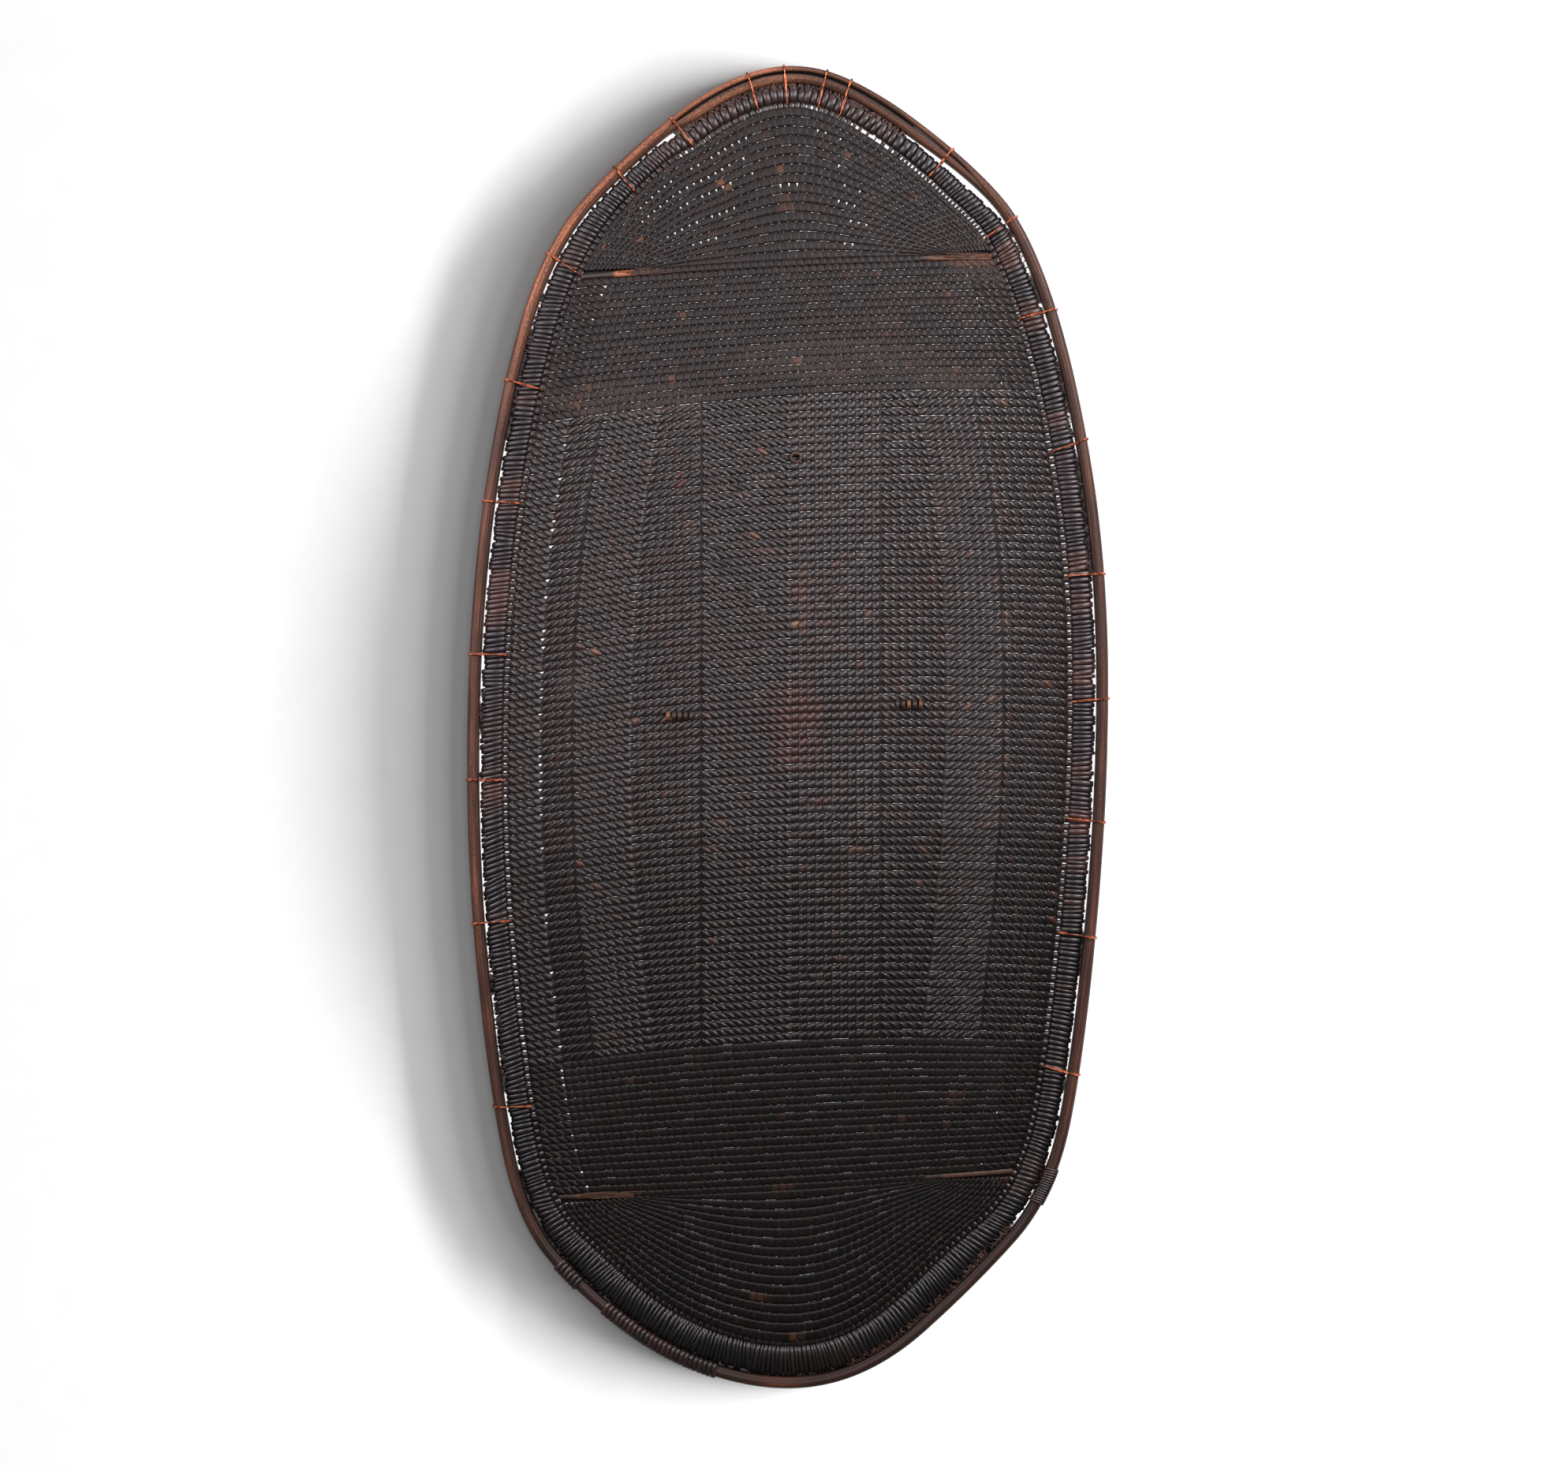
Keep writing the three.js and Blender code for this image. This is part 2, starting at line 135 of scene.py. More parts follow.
outline = splineThrough(rimGuide, edge["spanSteps"])
coarse = splineThrough(rimGuide, edge["coarseSteps"])
rimBox = np.array(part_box("outer_rim_cane"))[:, :2] / mm
shift = np.append(rimBox.mean(0) - (coarse.min(0) + coarse.max(0)) / 2, 0)

alongRim, rimNormal = alongAndOut(outline)
softReach = int(edge["softSpans"] * edge["spanSteps"])
softNormal = unit(sum(np.roll(rimNormal, k, 0) for k in range(-softReach, softReach + 1)))


def endBlend(y):
    return smoothStep((np.abs(y) - edge["endsBegin"]) / (edge["endsSettled"] - edge["endsBegin"]))


lengthAt = lengths(np.vstack([outline, outline[:1]]))
rimLength = lengthAt[-1]
coarseTop = coarse[np.argmax(coarse[:, 1])]
topLength = lengthAt[np.argmin(np.linalg.norm(outline - coarseTop, axis=1))]
stationDistance = (lengthAt[:-1] - topLength) % rimLength


def parting(distance, stretch):
    # 0 to 1 over a stretch round the top, given as from, ease in, to, ease out
    start, easeIn, end, easeOut = stretch
    signed = (np.asarray(distance) + rimLength / 2) % rimLength - rimLength / 2
    return smoothStep((signed - start) / easeIn + 1) * smoothStep((end - signed) / easeOut + 1)


def partedBy(distance, stretch):
    # how much further in things stand where the inner cane parts from the outer one
    return (edge["partGap"] + edge["partFuller"]) * parting(distance, edge[stretch])


heightY = outline[:, 1]
endWidth = np.where(heightY > 0, edge["rollTop"], edge["rollBottom"])
rollFrom = edge["rimWidth"] + mix(edge["gapSide"], edge["gapEnd"], endBlend(heightY))
rollFrom += partedBy(stationDistance, "partRoll")
rollTo = rollFrom + mix(edge["rollSide"], endWidth, endBlend(heightY * 1.08))
panelInset = rollTo + edge["stitchGap"]


def onRim(values, distance):
    # a per-station value at distances along the rim, clockwise from its top
    closed = np.concatenate([values, values[:1]])
    target = (topLength + np.asarray(distance, float)) % rimLength
    if closed.ndim == 1:
        return np.interp(target, lengthAt, closed)
    return np.stack([np.interp(target, lengthAt, closed[:, k]) for k in range(closed.shape[1])], -1)


def insetPoint(distance, inset):
    # a point some way inside the rim's outer edge
    distance, inset = np.broadcast_arrays(np.asarray(distance, float), np.asarray(inset, float))
    soft = smoothStep((inset - edge["rimWidth"]) / edge["rimWidth"])[..., None]
    normal = unit(mix(onRim(rimNormal, distance), onRim(softNormal, distance), soft))
    return onRim(outline, distance) + normal * inset[..., None]


panelEdge = insetPoint(stationDistance, panelInset)
edgeAngle = np.arctan2(panelEdge[:, 0], panelEdge[:, 1])
order = np.argsort(edgeAngle)
edgeAngle = edgeAngle[order]
edgeRadius = np.linalg.norm(panelEdge, axis=1)[order]


def outness(x, y):
    # 0 in the middle of the panel, 1 at its edge
    reach = np.interp(np.arctan2(x, y), edgeAngle, edgeRadius, period=2 * math.pi)
    return np.hypot(x, y) / reach


def domeTop(x, y):
    return panel["edgeTop"] + panel["rise"] * (1 - np.minimum(outness(x, y), 1.02) ** 2)


def wander(distance, spacing, amount):
    # smooth random values that close up round the rim
    count = int(round(rimLength / spacing))
    values = chance.uniform(-1, 1, count)
    place = np.asarray(distance, float) / rimLength * count
    first = np.floor(place).astype(int)
    return amount * mix(values[first % count], values[(first + 1) % count], smoothStep(place - first))


def fade(value, start, end, soft):
    # 1 between start and end, easing to 0 over soft on either side
    return smoothStep((value - start) / soft + 1) * smoothStep((end - value) / soft + 1)


def makePiece(name, points, faces, material, replaces, tint, grain):
    # tint is brightness with painted shade in it, tan wear, crest (which sets painted shade in the creases)
    # and red; grain is lengthwise, crosswise and dust
    points = np.clip((np.asarray(points, float) + shift) * mm, cadBox[0], cadBox[1])
    faces = np.asarray(faces, np.int32)
    mesh = bpy.data.meshes.new(name)
    mesh.vertices.add(len(points))
    mesh.vertices.foreach_set("co", points.ravel())
    mesh.loops.add(faces.size)
    mesh.loops.foreach_set("vertex_index", faces.ravel())
    mesh.polygons.add(len(faces))
    mesh.polygons.foreach_set("loop_start", np.arange(len(faces), dtype=np.int32) * faces.shape[1])
    mesh.polygons.foreach_set("use_smooth", np.full(len(faces), True))
    mesh.update(calc_edges=True)
    layer = mesh.color_attributes.new("tint", "FLOAT_COLOR", "POINT")
    layer.data.foreach_set("color", np.asarray(tint, np.float32).ravel())
    layer = mesh.attributes.new("grain", "FLOAT_VECTOR", "POINT")
    layer.data.foreach_set("vector", np.asarray(grain, np.float32).ravel())
    mesh.materials.append(material)
    piece = bpy.data.objects.new(name, mesh)
    bpy.context.scene.collection.objects.link(piece)
    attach(piece, "root")
    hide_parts(*replaces)


def enclosed(sections, closed):
    # six times the signed volume of a tube, to see which way its faces look
    middle = sections.reshape(-1, 3).mean(0)
    a = sections - middle
    b = np.roll(a, -1, 1)
    c = np.roll(a, -1, 0)
    d = np.roll(b, -1, 0)
    last = None if closed else -1
    return np.sum(np.cross(a, b)[:last] * (c + d)[:last])


class Gather:
    # collects many tubes into one mesh; sections are rows of points round each tube
    def __init__(self):
        self.points, self.faces, self.tints, self.grains, self.count = [], [], [], [], 0

    def tube(self, sections, closed, tint, grain):
        rows, size = sections.shape[:2]
        i = np.arange(rows if closed else rows - 1)[:, None]
        k = np.arange(size)[None, :]
        following = (i + 1) % rows
        beside = (k + 1) % size
        here, ahead = i * size, following * size
        quads = np.stack([here + k, here + beside, ahead + beside, ahead + k], -1).reshape(-1, 4)
        if not closed:
            lids = [self.lid(size, 0, True), self.lid(size, (rows - 1) * size, False)]
            quads = np.concatenate([quads] + lids)
        if enclosed(sections, closed) < 0:
            quads = quads[:, ::-1]
        self.points.append(sections.reshape(-1, 3))
        self.faces.append(quads + self.count)
        self.tints.append(np.broadcast_to(tint, (rows, size, 4)).reshape(-1, 4))
        self.grains.append(np.broadcast_to(grain, (rows, size, 3)).reshape(-1, 3))
        self.count += rows * size

    def lid(self, size, start, turned):
        # closes the end of a tube of even size with quads
        k = np.arange(size // 2 - 1)
        quads = np.stack([k, k + 1, size - 2 - k, size - 1 - k], -1) + start
        return quads[:, ::-1] if turned else quads

    def make(self, name, material, slot, *replaces):
        parts = (self.points, self.faces, self.tints, self.grains)
        points, faces, tints, grains = [np.concatenate(part) for part in parts]
        makePiece(name, points, faces, material, replaces, tints, grains)


def packed(*channels):
    # stacks channels of different shapes into one array of points' values
    return np.stack(np.broadcast_arrays(*[np.asarray(c, float) for c in channels]), -1)


class Dye:
    # a shader value; arithmetic on it makes nodes
    def __init__(self, tree, socket=None):
        self.tree, self.socket = tree, socket

    def node(self, kind, settings, sockets, output=0):
        made = self.tree.nodes.new(kind)
        for name, value in settings.items():
            setattr(made, name, value)
        for name, value in sockets.items():
            self.plug(made.inputs[name], value)
        return Dye(self.tree, made.outputs[output])

    def plug(self, target, value):
        if isinstance(value, Dye):
            self.tree.links.new(value.socket, target)
            return
        if target.type == "RGBA":
            value = (value,) * 3 if isinstance(value, (int, float)) else tuple(value)
            value = value[:3] + (1.0,)
        elif target.type == "VECTOR" and isinstance(value, (int, float)):
            value = (value,) * 3
        target.default_value = value

    def wide(self, other):
        kinds = [self.socket.type]
        if isinstance(other, Dye):
            kinds.append(other.socket.type)
        return isinstance(other, tuple) or "RGBA" in kinds or "VECTOR" in kinds

    def combine(self, operation, first, second):
        other = second if first is self else first
        kind = "ShaderNodeVectorMath" if self.wide(other) else "ShaderNodeMath"
        return self.node(kind, {"operation": operation}, {0: first, 1: second})

    def __add__(self, other):
        return self.combine("ADD", self, other)

    def __radd__(self, other):
        return self.combine("ADD", other, self)

    def __rsub__(self, other):
        return self.combine("SUBTRACT", other, self)

    def __mul__(self, other):
        return self.combine("MULTIPLY", self, other)

    def __rmul__(self, other):
        return self.combine("MULTIPLY", other, self)

    def between(self, low, high):
        # 0 below low, 1 above high
        return self.node("ShaderNodeMapRange", {"interpolation_type": "SMOOTHSTEP"},
                         {"Value": self, "From Min": low, "From Max": high})

    def choose(self, first, second):
        # the first colour where this value is 0, the second where it is 1
        return self.node("ShaderNodeMix", {"data_type": "RGBA"}, {0: self, 6: first, 7: second}, 2)

    def towards(self, other, factor):
        return factor.choose(self, other)


def tone(red, green, blue):
    # a linear colour from everyday 0-255 values
    shares = [value / 255 for value in (red, green, blue)]
    return tuple(s / 12.92 if s < 10 / 255 else ((s + 0.055) / 1.055) ** 2.4 for s in shares)


def newFinish(name):
    # a material, its shader and the values every piece carries
    material = bpy.data.materials.new(name)
    material.use_nodes = True
    tree = material.node_tree
    shader = tree.nodes["Principled BSDF"]
    start = Dye(tree)
    tint = start.node("ShaderNodeAttribute", {"attribute_name": "tint"}, {}, "Color")
    red = Dye(tree, tint.socket.node.outputs["Alpha"])
    parts = tint.node("ShaderNodeSeparateColor", {}, {0: tint})
    bright, tan, crest = [Dye(tree, parts.socket.node.outputs[k]) for k in range(3)]
    grain = start.node("ShaderNodeAttribute", {"attribute_name": "grain"}, {}, "Vector")
    dust = grain.node("ShaderNodeSeparateXYZ", {}, {0: grain}, 2)
    place = start.node("ShaderNodeTexCoord", {}, {}, "Object") * 1000.0
    values = dict(bright=bright, tan=tan, crest=crest, red=red, grain=grain, dust=dust, place=place)
    return material, shader, values


def speckle(at, scale, detail=3.0, roughness=0.55):
    # smooth noise between 0 and 1; scale is blobs per millimetre
    sockets = {"Vector": at, "Scale": scale, "Detail": detail, "Roughness": roughness}
    return at.node("ShaderNodeTexNoise", {}, sockets, "Fac")


def finishWith(shader, colour, roughness, height, depth, coat=0.0, metallic=0.0):
    # joins up a finish; depth is how far the surface detail stands up, in metres
    colour.plug(shader.inputs["Base Color"], colour)
    colour.plug(shader.inputs["Roughness"], roughness)
    colour.plug(shader.inputs["Coat Weight"], coat)
    colour.plug(shader.inputs["Metallic"], metallic)
    shader.inputs["Coat Roughness"].default_value = 0.35
    sockets = {"Height": height, "Strength": 1.0, "Distance": depth}
    bump = height.node("ShaderNodeBump", {}, sockets, "Normal")
    colour.plug(shader.inputs["Normal"], bump)


caneLook = {
    "dark": tone(43, 34, 37), "warm": tone(50, 35, 35), "tan": tone(160, 104, 68), "red": tone(88, 42, 34),
    "dust": tone(138, 126, 112), "roughness": 0.2, "gloss": 0.55, "fibreDepth": 0.0002,
}


def wovenCane(name, look, crease=0.85, sheen=0.12):
    material, shader, s = newFinish(name)
    fibre = speckle(s["grain"] * (0.22, 1.9, 0.0), 1.0, 4.0)
    blotch = speckle(s["place"], 0.035, 4.0)
    fleck = speckle(s["place"], 0.9, 2.0)
    colour = blotch.between(0.4, 0.62).choose(look["dark"], look["warm"])
    colour = colour.towards(look["red"], s["red"])
    colour = colour.towards(look["tan"], s["tan"])
    colour = colour * s["bright"]
    colour = colour * (0.62 + 0.76 * fibre)
    # painted shade: the colour darkens where the crest value is low, in the creases between stitches and the
    # grooves between rows; crease sets how strongly
    colour = colour * (1.0 - crease + crease * s["crest"])
    powder = fleck.between(0.48, 0.7) * s["dust"] * (1.15 - s["crest"])
    colour = colour.towards(look["dust"], powder)
    roughness = look["roughness"] + 0.16 * fleck + 0.3 * s["dust"] * fleck + 0.15 * (1.0 - s["crest"])
    shader.inputs["Specular IOR Level"].default_value = look["gloss"]
    finishWith(shader, colour, roughness, fibre + 0.5 * fleck, look["fibreDepth"], sheen)
    return material


weaveFinish = wovenCane("blackened_plaited_cane", caneLook)
lowerFinish = wovenCane("lower_plaited_cane", dict(caneLook, gloss=0.44))
smokedFinish = wovenCane("smoked_plaited_cane", dict(caneLook, gloss=0.28, roughness=0.34), 0.85, 0.03)

# How the rows run across the shield: height at the middle, slope and bow of each named line.
seamLines = {
    "upperRod": (417.5, 0.05, 0.0),
    "upperBand": (297.0, 0.065, 1.39e-4),
    "middle": (0.0, 0.05, 2.2e-4),
    "lowerBand": (-281.0, 0.049, 2.84e-4),
    "lowerRod": (-413.8, 0.058, 0.0),
}
weave = {
    "fieldRows": 77, "upperBandRows": 17, "lowerBandRows": 18, "capRows": 16,
    "rodRoom": 2.6,                    # the rows stop this far from a cross rod
    "rowTuck": 0.6,                    # and run this far past the panel's edge
    "squareStitch": 6.95, "leaningStitch": 7.3, "capStitch": 7.2,
    "unevenness": 0.16,
    "capSeam": (-128, 130),            # the caps' rows fan out from this much of the seam
}
keyHeights, keySlopes, keyBows = np.array(sorted(seamLines.values())).T
hole = {"x": 6.0, "y": 241.0, "radius": 2.7, "ease": 0.5, "depth": 4.5}

# Stitches that have worn through to another colour: middle, half width, half height, tan, red.
wornStitches = [
    (5, 2, 22, 42, 0.0, 0.6), (9, 87.6, 12, 3.5, 0.75, 0.2), (-58, 490, 6, 4, 1.0, 0),
    (30, -64, 4, 4, 0.1, 1.0), (59, -107, 4, 4, 0.7, 0), (-67, -189.5, 4, 4, 0.6, 0),
    (46, -209.6, 4, 4, 0.4, 0), (148.6, -150, 4, 8, 0, 1.0), (-99, 223, 5, 8, 0.0, 1.0),
    (150, -334.4, 9, 4, 0.8, 0), (100.5, -351, 4, 4, 0.7, 0), (75.4, -364, 4, 4, 0.7, 0),
    (-158, -281, 14, 9, 0.0, 0.6), (194, -408, 7, 5, 0.7, 0), (177, -458, 10, 9, 0.6, 0),
    (-26, -514, 8, 5, 1.0, 0), (-12, -504, 4, 4, 0.8, 0), (6.5, -554, 5, 5, 0.9, 0),
    (-6, -413, 12, 4, 0.5, 0.3), (191.6, 293, 5, 7, 0.5, 0.2), (-174, 445, 4, 4, 0.8, 0),
    (-108, 9, 5, 4, 0.35, 0.5), (82, 21, 4, 4, 0.5, 0), (180, 424, 46, 7, 0.42, 0.3),
    (-4, 472, 7, 7, 0.15, 0.6), (-105, 312, 4, 5, 0.3, 0.4), (220, 365, 12, 16, 0.35, 0.3),
    (10, 120, 5, 26, 0.12, 0.2),
]
dustyAreas = [
    (-145, 296, 78, 15), (145, 313, 38, 12), (40, 330, 90, 20), (190, 415, 50, 14), (-190, 40, 20, 12),
]
# Lines of pulled stitches that cross the field as two open lozenges, and how far off a stitch still counts.
pulledReach = 4.2
pulledLines = [
    [(6.5, 241), (-77.5, 194.5), (-66.7, 158.6), (-23.7, 101.2)], [(66, 158.6), (30, 104.8)],
    [(-38, -92.6), (-74, -121.3)],
    [(23, -63.9), (69.6, -121.3), (80.4, -185.9), (44.5, -211), (-5.7, -229), (-66.7, -189.5)],
    [(-139, 108), (-139, -50)],
]


def rowY(x, height):
    slope = np.interp(height, keyHeights, keySlopes)
    bow = np.interp(height, keyHeights, keyBows)
    return height + slope * x - bow * x * x


def inArea(x, y, area):
    # 1 inside an oval, easing to 0 outside it
    away = np.hypot((x - area[0]) / area[2], (y - area[1]) / area[3])
    return 1 - smoothStep((away - 0.75) / 0.5)


def pulled(x, y):
    # 1 for stitches on one of the pulled lines
    nearest = np.full(np.shape(x), 99.0)
    for line in pulledLines:
        for (ax, ay), (bx, by) in zip(line, line[1:]):
            wide, tall = bx - ax, by - ay
            along = np.clip(((x - ax) * wide + (y - ay) * tall) / (wide ** 2 + tall ** 2), 0, 1)
            nearest = np.minimum(nearest, np.hypot(x - mix(ax, bx, along), y - mix(ay, by, along)))
    return nearest < pulledReach


# Painted shade by height: the colour is darkest low down, standing in for the light falling off towards the
# bottom; it is also a little darker to the right.
shadeHeights = [-600, -490, -350, -210, -100, 0, 150, 255, 350, 480, 600]
paintedShades = [0.15, 0.15, 0.17, 0.25, 0.63, 0.81, 0.8, 0.72, 0.5, 0.42, 0.42]


def paintedShade(x, y):
    return np.interp(y, shadeHeights, paintedShades) * (1 - 0.08 * np.clip(x / 250, -1, 1))


# The strand's section, round from the row's upper side: across the row, and how near each point is to the
# crest; a low crest value paints shade into the grooves between rows, more on the lower side.
ropeAcross = np.array([1.03, 0.88, 0.42, -0.42, -0.88, -1.03, -0.5, 0.5])
ropeCrest = np.array([0.1, 0.7, 1.0, 1.0, 0.55, 0.0, 0.0, 0.0])
# Along a stitch: where its stations lie and how full it is there; crease is how deep the strand dips
# between two stitches.
stitchPhase = np.array([0.0, 0.13, 0.36, 0.64, 0.87])
plumpStitch = {
    "down": np.array([-2.3, -0.9, -0.12, -0.12, -0.9, -2.3, -7.0, -7.0]),
    "bulge": np.array([0.0, 0.58, 1.0, 1.0, 0.58]), "crease": 2.2,
}
flatStitch = {
    "down": np.array([-1.5, -0.4, -0.08, -0.08, -0.4, -1.5, -7.0, -7.0]),
    "bulge": np.array([0.0, 0.72, 1.0, 1.0, 0.72]), "crease": 1.7,
}
smoothStitch = dict(flatStitch, bulge=np.array([0.1, 0.84, 1.0, 1.0, 0.84]), crease=1.1)


stitchColour = {
    "shadeSpread": 0.16, "shades": (0.6, 1.5), "pulledShade": 0.85,
    "tanShare": 0.008, "redShare": 0.06, "strayWear": (0.1, 0.35), "patchWear": (0.55, 1.0),
    "dust": 0.1, "dustSpread": 0.12, "dustyArea": 0.75, "holeShade": 0.12,
}


def stitchColours(middles, odd):
    # shade, tan, red and dust of each stitch, from where its middle is
    x, y = middles.T
    count = len(x)
    look = stitchColour
    shade = chance.normal(1, look["shadeSpread"], count).clip(*look["shades"])
    tan = np.where(chance.random(count) < look["tanShare"], chance.uniform(*look["strayWear"], count), 0)
    red = np.where(chance.random(count) < look["redShare"], chance.uniform(*look["strayWear"], count), 0)
    for *patch, tanHere, redHere in wornStitches:
        here = inArea(x, y, patch) * chance.uniform(*look["patchWear"], count)
        tan = np.maximum(tan, tanHere * here)
        red = np.maximum(red, redHere * here)
    dust = look["dust"] + chance.uniform(0, look["dustSpread"], count)
    for area in dustyAreas:
        dust = np.maximum(dust, look["dustyArea"] * inArea(x, y, area))
    # painted shade by height darkens each stitch
    shade = shade * paintedShade(x, y) * np.where(odd, look["pulledShade"], 1)
    return shade, tan, red, dust


def rope(gather, pathAt, halfAt, starts, leans, openings, shape, lift=0.0):
    # one row of stitches; pathAt and halfAt take positions along it, starts are the stitches' ends
    count = len(leans)
    length = np.diff(starts)
    at = (starts[:-1, None] + length[:, None] * stitchPhase).ravel()
    at = np.append(at, starts[-1])
    stitch = np.minimum(np.arange(len(at)) // len(stitchPhase), count - 1)
    bulge = np.append(np.tile(shape["bulge"], count), shape["bulge"][0])
    centre = pathAt(at)
    run = unit(pathAt(at + 0.4) - pathAt(at - 0.4))
    across = np.stack([-run[:, 1], run[:, 0]], 1)
    halfway = (starts[:-1] + starts[1:]) / 2
    middles = pathAt(halfway)
    odd = pulled(middles[:, 0], middles[:, 1])
    leans = leans * chance.uniform(0.8, 1.2, count) + odd * chance.uniform(-0.9, 0.9, count)
    leanPlaces = np.concatenate([starts[:1], halfway, starts[-1:]])
    lean = np.interp(at, leanPlaces, np.concatenate([[0], leans, [0]]))
    uneven = weave["unevenness"]
    fat = 1 + chance.uniform(-0.5, 0.3, count) * uneven
    rise = chance.uniform(-1.6, 0.6, count) * uneven + odd * chance.uniform(-0.9, 0.2, count)
    opened = np.ones(len(at))
    opened[::len(stitchPhase)] = openings
    top = ropeCrest > 0
    dip = 1 - bulge[:, None]
    v = ropeAcross * halfAt(at)[:, None] * np.where(top, (1 - 0.1 * dip) * fat[stitch, None], 1)
    v = v * np.where(ropeAcross > 0, opened[:, None], 1)
    level = centre[:, None] + across[:, None] * v[..., None] + run[:, None] * (lean[:, None] * v)[..., None]
    x, y = level[..., 0], level[..., 1]
    drop = shape["down"] + np.where(top, -shape["crease"] * dip + rise[stitch, None] + lift, lift)
    inHole = top & (np.hypot(x - hole["x"], y - hole["y"]) < hole["radius"] + hole["ease"])
    z = domeTop(x, y) + drop - hole["depth"] * inHole
    shade, tan, red, dust = stitchColours(middles, odd)
    # painted shade: the crest value falls in the creases between stitches, so the finish darkens them
    crest = ropeCrest * (0.05 + 0.95 * bulge[:, None] ** 1.5)
    seed = chance.uniform(0, 900, count)
    # painted shade: stitches sunk into the small hole are coloured near black
    shade = shade[stitch, None] * np.where(inHole, stitchColour["holeShade"], 1)
    tint = packed(shade, tan[stitch, None], crest, red[stitch, None])
    grain = packed(at[:, None] + seed[stitch, None], v, dust[stitch, None])
    gather.tube(atHeight(level, z), False, tint, grain)


def rowEnds(height):
    # where a row begins and ends, tucked a little under the edge roll
    x = np.arange(-300, 300, 0.5)
    inside = x[outness(x, rowY(x, height)) < 1]
    return inside[0] - weave["rowTuck"], inside[-1] + weave["rowTuck"]


def columns(xL, panels):
    # stitch ends and leans from panels given as right edge, number of stitches and lean
    starts, leans, lines = [xL], [], []
    for right, count, lean in panels:
        pitch = weave["leaningStitch"] if lean else weave["squareStitch"]
        count = count or max(1, int(round((right - starts[-1]) / pitch)))
        steps = np.linspace(starts[-1], right, count + 1)[1:]
        starts.extend(steps)
        leans.extend([lean] * count)
        lines.append(len(leans))
    starts = np.array(starts)
    starts[1:-1] += chance.normal(0, 0.22, len(starts) - 2)
    return starts, np.array(leans), lines


def fieldPanels(xL, xR):
    # the middle panels keep their places, the outer ones follow the sides
    left = [(xL + 31, 4, -0.8), (xL + 60, 4, 1.1), (xL + 114, 7, -0.8)]
    centre = [(-79, None, 1.0), (1.4, 11, -0.9), (82, 11, 0.4)]
    return left + centre + [(xR - 111, None, -0.9), (xR - 60, 7, 1.0), (xR, 8, -0.85)]


def bandPanels(xL, xR):
    return [(xL + 31, 4, -0.8), (xR - 31, None, 0.0), (xR, 4, -0.8)]


def layRows(gather, top, bottom, rows, wanted, panelsOf, openLines, shape):
    # rows of stitches between two heights; wanted picks some of them
    pitch = (top - bottom) / rows
    for k in wanted:
        height = top - pitch * (k + 0.5)
        xL, xR = rowEnds(height)
        starts, leans, lines = columns(xL, panelsOf(xL, xR))
        openings = np.ones(len(starts))
        for line, share in openLines.items():
            if chance.random() < share:
                openings[lines[line]] = chance.uniform(0.3, 0.65)

        def pathAt(x, height=height):
            return np.stack([x, rowY(x, height)], -1)

        def halfAt(x, height=height):
            return (rowY(x, height + pitch / 2) - rowY(x, height - pitch / 2)) / 2

        rope(gather, pathAt, halfAt, starts, leans, openings, shape)


upperRod, upperBand, _, lowerBand, lowerRod = [line[0] for line in seamLines.values()]
for number, wanted in enumerate(np.array_split(np.arange(weave["fieldRows"]), 3)):
    gather = Gather()
    layRows(gather, upperBand, lowerBand, weave["fieldRows"], wanted, fieldPanels,
            {0: 0.38, 7: 0.1, 1: 0.06}, plumpStitch)
    finish = lowerFinish if number == 2 else weaveFinish
    gather.make(f"woven_field_{number + 1}", finish, "woven_cane", "woven_panel")
room = weave["rodRoom"]
for name, top, bottom, rows, openLines in (
        ("woven_upper_band", upperRod - room, upperBand, weave["upperBandRows"], {0: 0.2, 1: 0.5}),
        ("woven_lower_band", lowerBand, lowerRod + room, weave["lowerBandRows"], {0: 0.6, 1: 0.2})):
    gather = Gather()
    layRows(gather, top, bottom, rows, range(rows), bandPanels, openLines, flatStitch)
    gather.make(name, smokedFinish, "woven_cane", "woven_panel")
print("field and bands woven")


def panelEdgeBetween(rodHeight, side):
    # the panel's edge from a cross rod's left end to its right end, round the top or the bottom
    offset = weave["rodRoom"] * side
    beyond = side * (panelEdge[:, 1] - rowY(panelEdge[:, 0], rodHeight) - offset) > 0
    part = panelEdge[beyond]
    part = part[np.argsort(np.arctan2(part[:, 0], side * part[:, 1]))]
    along = lengths(part)
    return part, along / along[-1]


# Rows of the top cap with daylight between their stitches: row out from the seam, and from and to as shares
# of the row's length.
openArcs = [
    (15, 0.2, 0.46), (13, 0.16, 0.44), (11, 0.14, 0.42), (9, 0.16, 0.44), (6, 0.15, 0.36), (3, 0.18, 0.3),
    (7, 0.44, 0.54), (13, 0.57, 0.63), (10, 0.6, 0.66), (8, 0.62, 0.7), (6, 0.64, 0.72), (4, 0.66, 0.76),
    (1, 0.66, 0.72),
]


